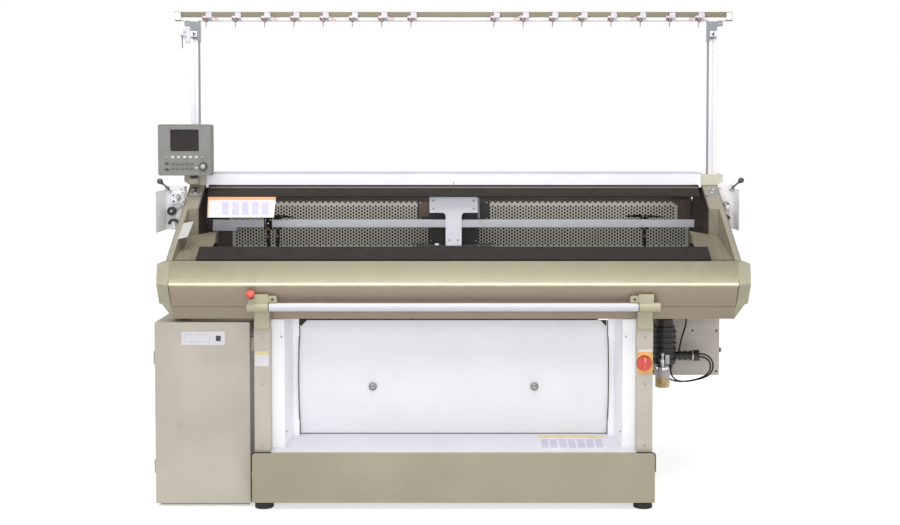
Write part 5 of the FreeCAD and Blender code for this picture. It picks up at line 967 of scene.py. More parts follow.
# ---------------------------------------------------------------- front of the stand
class StandFront:
    """Seams, screws, edging and bare label plates on the front of the stand."""

    def build(self) -> None:
        """Make the front's small parts."""
        seams = Forge()
        seams.slab((-1250, 1250), (60.6, 62.1), (902.5, 905.5))
        for x in (-1250, 1250):
            seams.prism(Plane.SIDE, [(30, 1111.3), (25.75, 1111.3), (5, 1034), (-0.15, 1010),
                                     (3, 992), (62, 902), (64, 903), (5, 993), (2, 1010),
                                     (8, 1034)], x - 0.8, x + 0.8)
        seams.make("beam_joint_lines", "beam_paint", Coat.JOINT_AND_GAP_SHADE)

        screws = Forge()
        screws.screws(4.5, [(x, 29.9, 240) for x in (-840, -420, 0, 420, 840)])
        screws.screws(4.5, [(x, 99.9, z) for x, z in ((-747, 336), (747, 336), (-770, 764),
                                                      (770, 764))])
        for x in (-848, 848):
            screws.screws(6, [(x, 49.9, z) for z in (88, 182, 286)])
            screws.screws(5, [(x, 49.9, z) for z in (560, 770)])
        screws.make("front_screws", "frame_paint", Coat.ZINC)

        edging = Forge()
        for side in SIDES:
            edging.tube([(side * x, 37, z) for x, z in (
                (811, 258), (877, 258), (888, 255), (893.5, 248), (894.5, 238), (894.5, 172))], 3)
        edging.make("kick_edging", "frame_paint", Coat.FOOT)

        labels = Forge()
        labels.card((-880, 641), (-818, 708), 2.5, (49.2, 50))
        labels.paint = 1
        labels.card((-880, 692), (-818, 708), 2, (48.9, 49.4))
        labels.paint = 0
        labels.card((818, 704), (880, 716), 1.5, (49.2, 50))
        labels.make("bare_leg_labels", "frame_paint", Coat.LABEL, Coat.LABEL_YELLOW)


class TakeDownFront:
    """Rubber-rimmed latches, painted shade in the take-down cover's gaps, and the tray's bare
    label.
    """

    HALF = 705
    DEPTH = 235
    BULGE = 45
    LOW, HIGH = 292, 816
    LATCH_Z = 519
    TRAY_EDGE = (50, 252)          # depth and height where the tray's slope begins
    TRAY_RISE = 40 / 181

    def face(self, z: float) -> float:
        """Depth of the cover's face at a height."""
        share = (2 * z - self.LOW - self.HIGH) / (self.HIGH - self.LOW)
        return self.DEPTH - self.BULGE * (1 - share * share)

    def latches(self) -> None:
        """Make the two latches."""
        forge, z = Forge(), self.LATCH_Z
        face = self.face(z)
        for x in (-368, 368):
            forge.paint = 0
            forge.rings([[(a, face + off, b) for a, b in circle(32, radius, (x, z))]
                         for off, radius in ((3, 14.6), (-1.5, 15), (-2.4, 16.2), (-1.8, 17.6),
                                             (0.6, 18.4))], capped=False)
            forge.paint = 1
            forge.disc((x, face + 9, z), 15.6, 3, 0.6)
            # dark slot across the latch: painted shade in the slot
            forge.paint = 2
            forge.slab((x - 9, x + 9), (face + 5.6, face + 7), (z - 1.4, z + 1.4))
        forge.make("cover_latches", "white_paint", Coat.BRACKET_GREY, Coat.ZINC, Coat.JOINT_AND_GAP_SHADE)

    def tray_label(self) -> None:
        """Make the bare label on the slope of the tray: a tinted strip over plain blocks."""
        forge = Forge()

        def film(x: Pair, front: float, back: float, lift: float) -> None:
            """Lay a thin sheet on the tray's slope between two depths."""
            low, high = (self.TRAY_EDGE[1] + (depth - self.TRAY_EDGE[0]) * self.TRAY_RISE
                         for depth in (front, back))
            forge.prism(Plane.SIDE, [(front, low - 0.3), (back, high - 0.3), (back, high + lift),
                                     (front, low + lift)], *x)

        film((388, 683), 78, 212, 0.4)
        forge.paint = 1
        film((388, 683), 190, 212, 0.8)
        forge.paint = 2
        for left in range(396, 660, 41):
            film((left, left + 31), 98, 178, 0.8)
        forge.make("bare_tray_label", "white_paint", Coat.LABEL, Coat.LABEL_YELLOW,
                   Coat.LABEL_TINT)

    def gaps(self) -> None:
        """Make dark strips that paint the shade in the gaps along the cover's edges, and dark
        plates that paint the shade behind its upper corners.
        """
        forge = Forge()
        steps = [self.LOW + (self.HIGH - self.LOW) * k / 20 for k in range(21)]
        edge = [(self.face(z) - 1.2, z) for z in steps]
        edge += [(self.face(z) + 2, z) for z in reversed(steps)]
        for x in (-self.HALF, self.HALF):
            forge.prism(Plane.SIDE, edge, x - 2.2, x + 2.2)
        forge.slab((-self.HALF, self.HALF), (self.DEPTH - 1.4, self.DEPTH + 2),
                   (self.LOW - 0.6, self.LOW + 3.4))
        # dark plates behind the upper corners: painted shade
        forge.slabs((640, 702), (self.DEPTH + 5, self.DEPTH + 8), (self.HIGH - 44, self.HIGH))
        forge.make("cover_edge_gap_shade", "white_paint", Coat.JOINT_AND_GAP_SHADE)

    def build(self) -> None:
        """Make the fittings."""
        self.latches()
        self.gaps()
        self.tray_label()


class Controls:
    """Emergency stop, fittings of the handrail and main switch."""

    def stop(self) -> None:
        """Make the emergency stop's sliding neck with its mushroom cap, and its fixed collar."""
        base, seat = (-886, 8, 952), Vector((-0.15, -0.60, 0.79))
        cap = Forge()
        cap.lathe([(0, 6), (9.2, 6), (9.2, 15.5)], base, seat)
        cap.paint = 1
        cap.lathe([(8, 15), (17.6, 15.4), (19.4, 16.4), (19.9, 18.2), (19.9, 23.5), (19.2, 26.6),
                   (17.2, 28.9), (13.6, 30.6), (8, 31.6), (0, 31.9)], base, seat, 40)
        piece = cap.make("stop_mushroom_cap", "stop_red", Coat.STOP_DARK, Coat.STOP,
                         body="stop_mushroom")
        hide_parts("stop_button")
        collar = Forge()
        collar.lathe([(9.8, 0.2), (10.9, 0.2), (11.1, 0.6), (11.1, 8), (10.7, 8.6), (9.8, 8.6),
                      (9.8, 0.2)], base, seat)
        collar.make("stop_button_collar", "beam_paint", Coat.STOP_DARK)

    def handrail(self) -> None:
        """Make the handrail's black end rings, bracket screws and dark discs that paint the shade
        in the brackets' holes.
        """
        rings, bolts = Forge(), Forge()
        for side in SIDES:
            rings.lathe([(10, -1.6), (18.4, -1.6), (18.6, -0.8), (18.6, 0.6), (10, 0.6)],
                        (side * 812, 19, 908), ACROSS * side)
        rings.make("handrail_end_rings", "white_paint", Coat.FOOT, body="bar")
        bolts.screws(5, [(x, 51, 826) for x in (-866, -828, 828, 866)])
        bolts.paint = 1
        for x in (-795, 795):
            bolts.disc((x, 4.5, 943), 5.2, 1, 0.3, 20)
        bolts.make("bracket_screws", "beam_paint", Coat.ZINC, Coat.JOINT_AND_GAP_SHADE)

    def switch(self) -> None:
        """Make the main switch's rim and screws, and its knob's white mark."""
        x, z = 843, 656
        rim, mark = Forge(), Forge()
        rim.lathe([(31.6, 0), (33.6, 0.2), (34.2, 1.6), (33.2, 2.4), (31.6, 2.4)], (x, 45, z),
                  steps=40)
        rim.paint = 1
        rim.screws(3.6, [(x + a, 44.9, z + b) for a, b in ((-24, 40.5), (32.5, 40.5), (-24, -40),
                                                           (32.5, -40))])
        rim.make("switch_rim", "switch_yellow", Coat.STOP_DARK, Coat.ZINC)
        mark.card((x - 1.6, z + 10), (x + 1.6, z + 27), 1.2, (14.4, 15.2))
        mark.make("switch_mark", "switch_red", Coat.LABEL, body="switch")

    def build(self) -> None:
        """Make the controls' details."""
        self.stop()
        self.handrail()
        self.switch()


class CabinetFront:
    """Bare nameplate and key lock of the electrical cabinet."""

    def build(self) -> None:
        """Make the door's fittings."""
        plate = Forge()
        for paint, low, high, radius, depth in (
                (0, (-1211, 730), (-1018, 790), 3, (77.3, 78)),
                (1, (-1200, 743), (-1084, 777), 1.5, (77, 77.5)),
                (2, (-1058, 748), (-1036, 772), 1, (77, 77.5)),
                (0, (-1198, 745), (-1086, 775), 1, (76.7, 77.2))):
            plate.paint = paint
            plate.card(low, high, radius, depth)
        plate.make("bare_nameplate", "cabinet_paint", Coat.LABEL, Coat.LABEL_GREY,
                   Coat.LABEL_DARK, body="door")
        lock = Forge()
        lock.lathe([(0, 0.4), (3, 0.4), (3.4, 2.6), (9, 3.2), (12.5, 2.6), (13.5, 1.2),
                    (13.5, -0.4)], (-1225, 78, 376))
        lock.make("door_key_lock", "cabinet_paint", Coat.CABINET, body="door")


# ---------------------------------------------------------------- masts, top beam and top rail
class TopFittings:
    """Slot covers, clamps and brackets of the masts, and trim of the top rail and top beam."""

    def masts(self) -> None:
        """Make slot covers, clamp bolts and bracket plates of both masts."""
        forge = Forge()
        forge.slab((1229.5, 1232), (559.4, 600.4), (1475, 2190))
        forge.paint = 1
        forge.prism(Plane.FRONT, [(1217, 2210.5), (1295, 2210.5), (1295, 2187.5), (1268, 2184),
                                  (1268, 2134), (1234, 2122), (1217, 2108)], 555.4, 559.8)
        forge.paint = 2
        forge.lathe([(5.2, 2), (5.6, -0.6), (9.8, -1.4), (11, -0.4), (11, 0.4)],
                    (1250, 548, 2150), BACK, 28)
        forge.screws(4, [(1238, 555.4, 2199), (1282, 555.4, 2199)])
        # dark disc in the clamp's bore: painted shade
        forge.paint = 3
        forge.disc((1250, 550.5, 2150), 4.6, 1, 0.2, 20)
        forge.mirrored()
        forge.make("mast_fittings", "mast_aluminium", Coat.GREY_STRIP, Coat.BRACKET_GREY,
                   Coat.CHROME, Coat.JOINT_AND_GAP_SHADE, bevel=0.3)

    def left_guide(self) -> None:
        """Make the yarn-end guide beside the left mast's clamp."""
        forge = Forge()
        forge.slab((-1304, -1268), (566, 584), (2108, 2178))
        forge.slab((-1272, -1262), (568, 582), (2140, 2162))
        # lavender discs: painted shade on the guide's white parts
        forge.paint = 1
        for x, z, radius in ((-1296, 2166, 7), (-1294, 2144, 9), (-1283, 2116, 9)):
            forge.disc((x, 566, z), radius, 10, 1.6, 24)
        forge.paint = 2
        forge.disc((-1310, 572, 2140), 7, 6, 1.4, 24)
        forge.tube([(-1310, 572, 2136), (-1310, 571, 2100), (-1308, 571, 2082)], 3, 10)
        forge.make("left_mast_yarn_guide", "mast_aluminium", Coat.MAST, Coat.LAVENDER,
                   Coat.BRACKET_GREY, bevel=0.8)

    def trim(self) -> None:
        """Make the top rail's lower strip, cap rims and screws, the top beam's joints and a
        lavender strip that paints the shade along its upper edge.
        """
        rail, beam = Forge(), Forge()
        rail.slab((-1314, 1314), (569.2, 570.2), (2215.5, 2230))
        rail.paint = 1
        for x in (-1330, 1330):
            rail.card((x - 13.5, 2219), (x + 13.5, 2254), 4, (567.2, 568.3))
        rail.paint = 2
        rail.screws(4.5, [(x, 574.9, 2245) for x in (-1290, -620, 0, 620, 1290)])
        rail.make("top_rail_strip", "rail_olive", Coat.MAST, Coat.WHITE, Coat.ZINC, bevel=0.3)
        beam.slab((-1183, 1183), (499.9, 503), (1420.4, 1424.8))
        beam.slab((-1, 1), (499.6, 500.2), (1425.5, 1440))
        # lavender strip along the top beam's upper edge: painted shade
        beam.paint = 1
        beam.slab((-1183, 1183), (499.5, 640.2), (1478, 1485.9))
        beam.make("top_beam_joints_and_edge_shade", "hood_paint", Coat.JOINT_AND_GAP_SHADE, Coat.LAVENDER)

    def build(self) -> None:
        """Make the fittings."""
        self.masts()
        self.left_guide()
        self.trim()


class TopTensioners:
    """Sixteen clip-on yarn tensioners: white clip, red-brown wheel, pin and wire curl."""

    FIRST = 200
    PITCH = 141
    PER_SIDE = 8
    FACE = 570
    Z = 2237

    def clip(self, forge: Forge, x: float) -> None:
        """Add the white clip with its ribs and side ears."""
        low, high, half, face = self.Z - 9, self.Z + 16, 22, self.FACE
        outline = rounded([(x - half, low, 2), (x + half, low, 2), (x + half, high - 4, 2),
                           (x + half - 4, high, 2), (x - 6, high, 2), (x - 6, low + 9, 3),
                           (x - half, low + 9, 2)], 3)
        forge.prism(Plane.FRONT, outline, face - 15.5, face - 1.2)
        for rib in (x, x + 8, x + 16):
            forge.slab((rib - 1.6, rib + 1.6), (face - 16.6, face - 15), (self.Z + 6, self.Z + 13))

    def unit(self, forge: Forge, x: float, armed: bool, lean: float) -> None:
        """Add one tensioner.

        Args:
            forge: what it is added to.
            x: its place along the rail.
            armed: whether it has the second wheel on an arm.
            lean: the side that its arm and curl point to, -1 or 1.
        """
        face, z = self.FACE, self.Z
        forge.paint = 0
        self.clip(forge, x)
        forge.paint = 1
        for dx, dz, radius in ((-4, -22, 9), (-17, -13, 5.5)):
            forge.lathe([(1, -12), (radius - 0.4, -11), (radius, -9), (radius * 0.7, -7),
                         (radius * 0.7, -4), (radius, -2), (radius - 0.5, 4), (1, 4.6)],
                        (x + dx, face - 14, z + dz), steps=24)
        forge.paint = 3
        forge.slab((x - 20, x - 6), (face - 14, face - 3), (z - 16, z - 8.5))
        forge.paint = 2
        forge.disc((x - 4, face - 18.6, z - 22), 3, 1.6, 0.5, 16)
        forge.tube([(x - 6, face - 8, z - 8), (x - 6, face - 8, 2183)], 2.4, 10)
        forge.tube([(x + lean * (6 + 0.9 * k), face - 9 - 3.4 * math.sin(k * 0.9),
                     z - 14 - 3.6 * math.cos(k * 0.9) - 0.5 * k) for k in range(26)], 0.9, 6)
        if armed:
            forge.tube([(x + lean * 8, face - 12, z + 2), (x + lean * 30, face - 13, z - 6),
                        (x + lean * 46, face - 13, z - 16)], 2.6, 10)
            forge.paint = 3
            forge.lathe([(1, -1.5), (8.4, -1), (9, 0.4), (6, 1.8), (6, 3), (9, 4.4), (8.2, 5.8),
                         (1, 6)], (x + lean * 46, face - 10, z - 17), steps=24)

    def build(self) -> None:
        """Make all sixteen."""
        forge = Forge()
        for index in range(self.PER_SIDE):
            for side in SIDES:
                self.unit(forge, side * (self.FIRST + self.PITCH * index), index % 2 == 1, -side)
        piece = forge.make("clip_tensioner_row", "tensioner_plastic", Coat.TENSIONER,
                           Coat.TENSIONER_RED, Coat.ZINC, Coat.TENSIONER_PINK, bevel=0.3)
        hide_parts("top_tensioners")


# ---------------------------------------------------------------- control panel
class PanelDetails:
    """Screen bezel, lamp keys, oval keys, key field, dial with its ring and rear louvres."""

    FACE = 380

    def oval(self, forge: Forge, x: float, z: float, half: Pair, height: float) -> None:
        """Add a low rounded key with its height out of the panel."""
        forge.rings([[(x + (half[0] - inset) * c, self.FACE + out, z + (half[1] - inset) * s)
                      for c, s in circle(24)]
                     for inset, out in ((0, 0.4), (0, -height * 0.6), (0.5, -height * 0.9),
                                        (1.3, -height))])

    def keys(self) -> None:
        """Make every key."""
        forge = Forge()
        for index in range(7):
            forge.paint = 0 if index in (0, 6) else 1
            self.oval(forge, -1343 + 27.7 * index, 1560, (7.6, 6.2), 3.2)
        forge.paint = 1
        self.oval(forge, -1204, 1510, (7.6, 4.6), 2.6)
        forge.paint = 2
        for z in (1530, 1502):
            self.oval(forge, -1343, z, (11, 6), 2.2)
        forge.paint = 3
        for x in range(-1314, -1225, 22):
            for z in (1527, 1506):
                forge.card((x - 8.5, z - 6), (x + 8.5, z + 6), 2.4, (self.FACE - 0.8,
                                                                     self.FACE + 0.3))
        forge.make("panel_keys", "panel_plastic", Coat.KEY_PINK, Coat.KEY, Coat.DARK_KEY,
                   Coat.KEY_GREY, body="panel", bevel=0.3)

    def bezel(self) -> None:
        """Make the screen's bezel, the edge groove and the rear louvres and screws."""
        forge, back = Forge(), Forge()
        forge.plate(rectangle((-1331, 1583), (-1188, 1695), 6),
                    rectangle((-1326.2, 1588.3), (-1192.8, 1689.7), 3),
                    (self.FACE - 1.1, self.FACE + 0.4))
        forge.plate(rectangle((-1382, 1476), (-1139, 1712), 9),
                    rectangle((-1379.8, 1478.2), (-1141.2, 1709.8), 8),
                    (self.FACE - 0.9, self.FACE + 0.3))
        forge.make("panel_bezel", "panel_plastic", Coat.PANEL, body="panel", bevel=0.2)
        for index in range(9):
            z = 1620 + 8.5 * index
            back.slab((-1330, -1190), (449.6, 451), (z, z + 3.4))
        back.screws(4, [(x, 450.1, z) for z in (1486, 1702) for x in (-1372, -1149)], BACK)
        back.make("panel_back_louvres", "panel_plastic", Coat.DARK_KEY, body="panel")

    def dial(self) -> None:
        """Make the dial's knurled rim, pale cap and the ring round it."""
        forge, ring, (x, depth, z) = Forge(), Forge(), (-1172.6, 379.7, 1517)
        forge.rings([[(x + c * radius, depth - out, z + s * radius) for (c, s), radius in
                      zip(circle(72), (16.7 + grow, 17.4 + grow) * 36)]
                     for out, grow in ((0.2, 0), (10.8, 0), (12, -1))])
        forge.paint = 1
        forge.lathe([(0, 12.6), (8.4, 12.5), (10.2, 12.1), (10.6, 11.6)], (x, depth, z))
        forge.make("dial_grip", "dial_plastic", Coat.DIAL, Coat.LABEL_GREY, body="dial")
        ring.lathe([(18.4, -0.4), (18.6, 1), (21, 1.2), (22, 0.6), (22, -0.4)], (x, depth, z),
                   steps=40)
        ring.make("dial_ring", "panel_plastic", Coat.KEY_GREY, body="panel")

    def build(self) -> None:
        """Make the details."""
        self.keys()
        self.bezel()
        self.dial()


# ---------------------------------------------------------------- side stands
class SideGuides:
    """Yarn guides on both stands: disc tensioners, guide roller, arches and chrome loops."""

    LEFT, RIGHT = 382, 500         # depth of each stand's face

    def dishes(self, forge: Forge, x: float, face: float, z: float) -> None:
        """Add a post with two dished discs, its nut and its spring."""
        base, radius = (x, face, z), 16.5
        for start in (8.4, 14.6):
            forge.lathe([(4, start), (radius * 0.55, start + 0.2), (radius * 0.9, start + 1.6),
                         (radius, start + 3.2), (radius - 0.4, start + 4),
                         (radius * 0.86, start + 2.8), (4, start + 1.4)], base, steps=36)
        forge.disc(base, 4.8, 25.8, 0.8, 20)
        forge.disc(base, 8, 6, 1.2, 24)
        forge.tube([(x + 6.6 * math.cos(k * 0.8), face - 18.6 - 0.18 * k,
                     z + 6.6 * math.sin(k * 0.8)) for k in range(36)], 0.7, 6)

    def arch(self, forge: Forge, x: float, face: float, z: float, radius: float) -> None:
        """Add a black half-round arch, and a white tongue in it."""
        forge.paint = 1
        outline = arc((x, z), radius, 0, 180, 24) + arc((x, z), radius - 9, 180, 0, 24)
        forge.prism(Plane.FRONT, outline, face - 13.5, face)
        forge.paint = 2
        forge.card((x - 5, z - 20), (x + 5, z + 12), 4, (face - 9.5, face))

    def build(self) -> None:
        """Make both stands' guides."""
        forge, left, right = Forge(), self.LEFT, self.RIGHT
        self.dishes(forge, -1290, left - 7, 1372)
        self.dishes(forge, 1302, right, 1330)
        forge.tube([(-1274, left - 6, 1390), (-1262, left - 14, 1400), (-1250, left - 14, 1388),
                    (-1246, left - 12, 1366), (-1256, left - 10, 1352), (-1272, left - 6, 1350)],
                   2.6, 10)
        forge.tube([(-1318, left - 3, 1309), (-1296, left - 5, 1320), (-1272, left - 3, 1330)],
                   5, 14)
        forge.tube([(1318, right - 2, 1300), (1310, right - 12, 1292), (1290, right - 12, 1292),
                    (1284, right - 4, 1306)], 2.6, 10)
        self.arch(forge, -1312, left, 1246, 26)
        self.arch(forge, 1304, right, 1262, 20)
        forge.paint = 1
        forge.lathe([(0, 6), (17, 6), (20, 7), (20, 10), (14, 12.5), (14, 23.5), (20, 26),
                     (20, 29), (17, 30), (7, 30)], (-1318, left, 1309), steps=36)
        forge.paint = 2
        forge.card((-1322, 1344), (-1272, 1392), 3, (left - 8, left))
        forge.paint = 1
        for z in (1382, 1353):
            forge.disc((-1313, left - 7.6, z), 4.6, 1.2, 0.3, 20)
        forge.paint = 3
        forge.disc((-1318, left - 29.8, 1309), 7, 5, 1.4, 24)
        forge.screws(4.5, [(x, face - 0.1, z) for x, face, z in (
            (-1276, left, 1240), (-1276, left, 1410), (1276, right, 1234), (1276, right, 1408))])
        piece = forge.make("stand_yarn_guides", "chrome", Coat.CHROME, Coat.CAM, Coat.WHITE,
                           Coat.ZINC, bevel=0.2)
        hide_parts("side_tensioners")


class StandLevers:
    """Two tension levers: turned hub, tapered shaft and ball knob."""

    BALL = 14

    def build(self) -> None:
        """Make both levers."""
        half = [(self.BALL * math.sin(math.pi * k / 12), -self.BALL * math.cos(math.pi * k / 12))
                for k in range(1, 12)]
        for side, x, depth in (("left", -1, 374), ("right", 1, 492)):
            pivot, knob = Vector((x * 1326, depth, 1406)), Vector((x * 1375, depth, 1447))
            shaft = knob - pivot
            forge = Forge()
            forge.paint = 1
            forge.lathe([(0, -4.6), (6, -4.6), (7.6, -3.4), (7.6, 6.4), (6.6, 7.4), (0, 7.4)],
                        pivot, BACK, 28)
            forge.paint = 0
            forge.lathe([(0, 2), (6.4, 3), (4.6, 30), (4.4, 52), (0, 52)], pivot, shaft, 20)
            forge.lathe([(0, 46), (7, 46.6), (8.4, 49.4)], pivot, shaft, 24)
            forge.lathe([(0, -self.BALL), *half, (0, self.BALL)], knob, shaft)
            piece = forge.make(side + "_lever_ball_knob", "lever_metal", Coat.KNOB, Coat.CHROME,
                               body=side + "_lever")
            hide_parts(side + "_stand_lever")


# ---------------------------------------------------------------- rear units
class Oiler:
    """Oil cup: chrome cap and stem, frosted upper part and amber oil in the lower one."""

    def build(self) -> None:
        """Make the cup."""
        foot, forge = (993, 424, 467), Forge()
        forge.paint = 1
        forge.lathe([(0, 0), (30, 0.2), (34, 2), (34.8, 6), (34.8, 50)], foot, UP, 40)
        forge.paint = 0
        forge.lathe([(34.8, 50), (34.8, 82), (34, 84.6), (30.6, 85.4)], foot, UP, 40)
        forge.paint = 2
        forge.lathe([(30.6, 85.4), (30.8, 98), (29.4, 99), (9, 99), (9, 108), (6.6, 110),
                     (6.6, 131), (8.8, 132), (8.8, 133), (3.8, 133.2), (3.8, 150), (6.6, 152),
                     (7.9, 156), (6.8, 160.6), (3, 165), (0, 166.8)], foot, UP)
        forge.tube([(993, 424, 588), (993, 466.2, 588)], 8.8, 20)
        piece = forge.make("oil_cup", "oil_plastic", Coat.CUP, Coat.OIL, Coat.CHROME)
        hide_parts("oiler")


class RearDetails:
    """Box screws and knob, motor bolts, bare tag, lead to the box and the rear sheet screws."""

    def build(self) -> None:
        """Make the details."""
        box = Forge()
        box.screws(5, [(x, 599.9, z) for x, z in ((1148, 796), (1287, 706), (1170, 706),
                                                  (1287, 506), (980, 506), (1287, 808))])
        box.lathe([(10.2, 3), (11.8, 4), (11.8, 13), (10, 14.6), (0, 15)], (1299, 630, 606),
                  ACROSS, 28)
        box.make("box_fittings", "box_paint", Coat.MOTOR)

        motor = Forge()
        for x in (990, 1046):
            motor.disc((x, 552, 776), 5, 4, 0.8, 20, UP)
        motor.lathe([(19.4, 0), (24.4, 1), (24.4, 9), (19.4, 10)], (1150, 528, 598), ACROSS)
        motor.paint = 1
        motor.tube([(1128, 560, 844), (1132, 548, 800), (1124, 540, 740), (1104, 535, 680),
                    (1090, 530, 618)], 4)
        for x, z, sag in ((930, 838, 20), (965, 830, 26), (1000, 842, 32), (1035, 832, 38)):
            motor.tube([(x, 520, z), (x + 22, 500, z - sag), (x + 60, 500, z - 22),
                        (x + 92, 520, z - 2)], 4, 10)
        motor.paint = 2
        motor.card((1014, 566), (1034, 612), 2, (467, 469.4))
        motor.make("motor_fittings", "motor_paint", Coat.ZINC, Coat.CABLE, Coat.LABEL, bevel=0.2)

        rear = Forge()
        low, high = [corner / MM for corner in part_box("rear_beam_cover")]
        cover = (high[1] - FRONT_Y / MM - 0.1, (low[2] + high[2]) / 2)
        for x in range(-1160, 1161, 290):
            rear.screws(5, [(x, 737.5, 1300), (x, *cover)], BACK)
        rear.make("rear_sheet_screws", "beam_paint", Coat.ZINC)


ASSEMBLIES = (Cables, PerforatedScreen, Cheeks, WindowTrim, YarnRails, CarriageBridge,
              StandFront, TakeDownFront, Controls, CabinetFront, TopFittings, TopTensioners,
              PanelDetails, SideGuides, StandLevers, Oiler, RearDetails)


# ---------------------------------------------------------------- floor, light and camera
WHITE_LIGHT = (1, 1, 1, 1)


class StudioFloor(Finish):
    """Matt white studio floor that keeps the soft shadow under the machine."""

    def dress(self, tree: Tree, where: Socket) -> dict:
        """Light that only the camera, reflections and glass see; it lifts the floor to white."""
        seen = node(tree, "LightPath").outputs
        first = node(tree, "Math", {0: seen["Is Camera Ray"], 1: seen["Is Glossy Ray"]},
                     operation="MAXIMUM").outputs[0]
        both = node(tree, "Math", {0: first, 1: seen["Is Transmission Ray"]},
                    operation="MAXIMUM").outputs[0]
        lift = node(tree, "Math", {0: both, 1: 0.55}, operation="MULTIPLY").outputs[0]
        return {"Emission Color": WHITE_LIGHT, "Emission Strength": lift}


@dataclass
class Lamp:
    """A soft rectangular lamp.

    Args:
        name: name of the lamp.
        spot: where it is.
        aim: what it points at.
        size: its width and height.
        power: its power in watts.
        only_on: the solids or pieces that it shines on; all of them where it is empty.
        shine_only: whether it only shows as a highlight in glossy paint.
    """

    name: str
    spot: Spot
    aim: Spot
    size: Pair
    power: float
    only_on: Sequence[str] = ()
    shine_only: bool = False

    def build(self) -> None:
        """Make the lamp."""
        data = bpy.data.lights.new(self.name, "AREA")
        data.shape = "RECTANGLE"
        data.size, data.size_y = self.size[0] * MM, self.size[1] * MM
        data.energy = self.power
        light = bpy.data.objects.new(self.name, data)
        light.location = at(*self.spot)
        light.rotation_mode = "QUATERNION"
        light.rotation_quaternion = (at(*self.aim) - at(*self.spot)).to_track_quat("-Z", "Y")
        light.visible_camera = False
        light.visible_diffuse = not self.shine_only
        if self.only_on:
            lit = bpy.data.collections.new(self.name + "_receivers")
            for solid in self.only_on:
                lit.objects.link(bpy.data.objects.get(solid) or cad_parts[solid])
            light.light_linking.receiver_collection = lit
        bpy.context.scene.collection.objects.link(light)


LAMPS = (
    Lamp("overhead_bank", (-300, -1200, 4600), (0, 300, 900), (4200, 2600), 150),
    Lamp("front_fill", (-200, -5200, 2600), (0, 0, 900), (3600, 2600), 56),
    Lamp("nose_highlight", (-300, -300, 1002), (-300, 15, 1002), (4200, 130), 13,
         ("front_beam_cover", "beam_end_caps"), True),
    Lamp("nose_line", (-300, -120, 966), (-300, 15, 966), (4200, 95), 9.5,
         ("front_beam_cover",), True),
    Lamp("bridge_fill", (0, -400, 1330), (0, 474, 1330), (600, 200), 1.4, ("bridge_front_arm",)),
    Lamp("apron_fill", (0, -1500, 500), (0, 150, 450), (2000, 400), 3.5,
         ("side_panels", "fabric_tray")),
    Lamp("hood_fill", (0, 548, 1404), (0, 720, 1190), (2200, 30), 1.5))


@dataclass
class Studio:
    """Pale floor, white room, soft lamps and a camera where the photograph's stood."""

    floor_half: float = 24
    camera_spot: Spot = (0, -5085, 1671)
    lens: float = 46.68
    pitch: float = 2.135               # degrees down; the rest of the framing is shift
    shift: Pair = (-0.0040, -0.095)
    sky: float = 0.55

    def floor(self) -> None:
        """Make the floor."""
        mesh = bpy.data.meshes.new("studio_floor")
        half = self.floor_half
        mesh.from_pydata([(-half, -half, 0), (half, -half, 0), (half, half, 0), (-half, half, 0)],
                         [], [(0, 1, 2, 3)])
        mesh.materials.append(StudioFloor("matt_white_floor", "#ececec", 0.8).build())
        ground = bpy.data.objects.new("studio_floor", mesh)
        bpy.context.scene.collection.objects.link(ground)

    def world(self) -> None:
        """White room light; the camera and glass see it as plain white."""
        world = bpy.data.worlds.new("white_room")
        bpy.context.scene.world = world
        world.use_nodes = True
        tree = world.node_tree
        tree.nodes.clear()
        seen = node(tree, "LightPath").outputs
        lit, white = (node(tree, "Background", {"Color": WHITE_LIGHT, "Strength": strength})
                      .outputs[0] for strength in (self.sky, 1))
        both = node(tree, "Math", {0: seen["Is Camera Ray"], 1: seen["Is Transmission Ray"]},
                    operation="MAXIMUM").outputs[0]
        room = node(tree, "MixShader", {0: both, 1: lit, 2: white}).outputs[0]
        node(tree, "OutputWorld", {"Surface": room})

    def camera(self) -> None:
        """Make the camera."""
        data = bpy.data.cameras.new("camera")
        data.lens, data.sensor_width, data.clip_end = self.lens, 36, 100
        data.shift_x, data.shift_y = self.shift
        made = bpy.data.objects.new("camera", data)
        made.location = at(*self.camera_spot)
        made.rotation_euler = (math.radians(90 - self.pitch), 0, 0)
        bpy.context.scene.collection.objects.link(made)
        bpy.context.scene.camera = made

    def build(self) -> None:
        """Set up the whole studio."""
        bpy.context.scene.view_settings.view_transform = "Standard"
        self.floor()
        self.world()
        self.camera()
        for lamp in LAMPS:
            lamp.build()


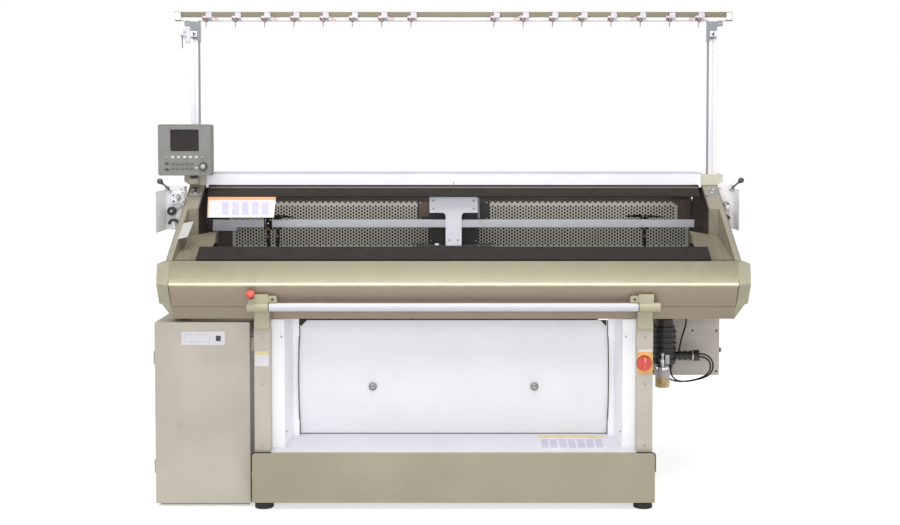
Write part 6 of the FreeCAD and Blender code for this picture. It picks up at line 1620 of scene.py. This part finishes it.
# ---------------------------------------------------------------- carried-over solids
SOLID_FINISHES: dict[Finish, str] = {
    Coat.LEGS: "side_frames lower_cross_beam", Coat.FOOT: "levelling_feet",
    Coat.KICK: "kick_cover", Coat.BEAM: "front_beam_cover", Coat.CAPS: "beam_end_caps",
    Coat.CHEEKS: "side_cheeks", Coat.DECK: "deck_housings", Coat.REAR: "rear_beam_cover",
    Coat.SCREEN: "perforated_screen", Coat.WHITE: "top_beam take_down_cover side_panels",
    Coat.BASE: "mast_bases", Coat.GIRDER: "bed_girder",
    Coat.BEDS: "front_needle_bed rear_needle_bed",
    Coat.GUIDES: "carriage_guides left_belt_pulley right_belt_pulley",
    Coat.CAM: "front_cam_box rear_cam_box", Coat.BRIDGE: "carriage_bridge",
    Coat.RAIL: "yarn_rails", Coat.CARRIER: "yarn_carrier_1 yarn_carrier_2 yarn_carrier_3",
    Coat.BELT: "drive_belt",
    Coat.MOTOR: "drive_motor racking_motor take_down_motor suction_motor",
    Coat.ROLLER: "front_take_down_roller rear_take_down_roller",
    Coat.TRAY: "fabric_tray handrail", Coat.BRACKET: "handrail_brackets",
    Coat.STOP: "stop_button", Coat.PANE: "window_pane", Coat.BLACK_BAND: "window_rails",
    Coat.MAST: "masts", Coat.OLIVE_RAIL: "top_rail", Coat.TENSIONER: "top_tensioners",
    Coat.PANEL: "panel_housing", Coat.GLASS: "panel_screen", Coat.DIAL: "panel_dial",
    Coat.ARM: "panel_arm", Coat.STAND: "side_yarn_stands",
    Coat.KNOB: "left_stand_lever right_stand_lever", Coat.CHROME: "side_tensioners",
    Coat.SWITCH_YELLOW: "switch_plate", Coat.SWITCH_RED: "switch_knob",
    Coat.CABINET: "cabinet_shell cabinet_door", Coat.ZINC: "controller_rack",
    Coat.BOX: "junction_box", Coat.OIL: "oiler", Coat.CABLE: "front_cable rear_cable",
}


def dress_solids() -> None:
    """Give every carried-over solid its finish."""
    for finish, names in SOLID_FINISHES.items():
        for name in names.split():
            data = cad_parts[name].data
            data.materials.clear()
            data.materials.append(finish.build())
            data.polygons.foreach_set("material_index", [0] * len(data.polygons))
            LOG.info("solid %s: %s", name, finish.name)


def main() -> None:
    """Build the machine's pieces, sub-assembly by sub-assembly, and then the studio."""
    logging.basicConfig(level=logging.INFO, format="%(name)s: %(message)s")
    dress_solids()
    for assembly in (*ASSEMBLIES, Studio):
        assembly().build()


if __name__ == "__main__":
    main()
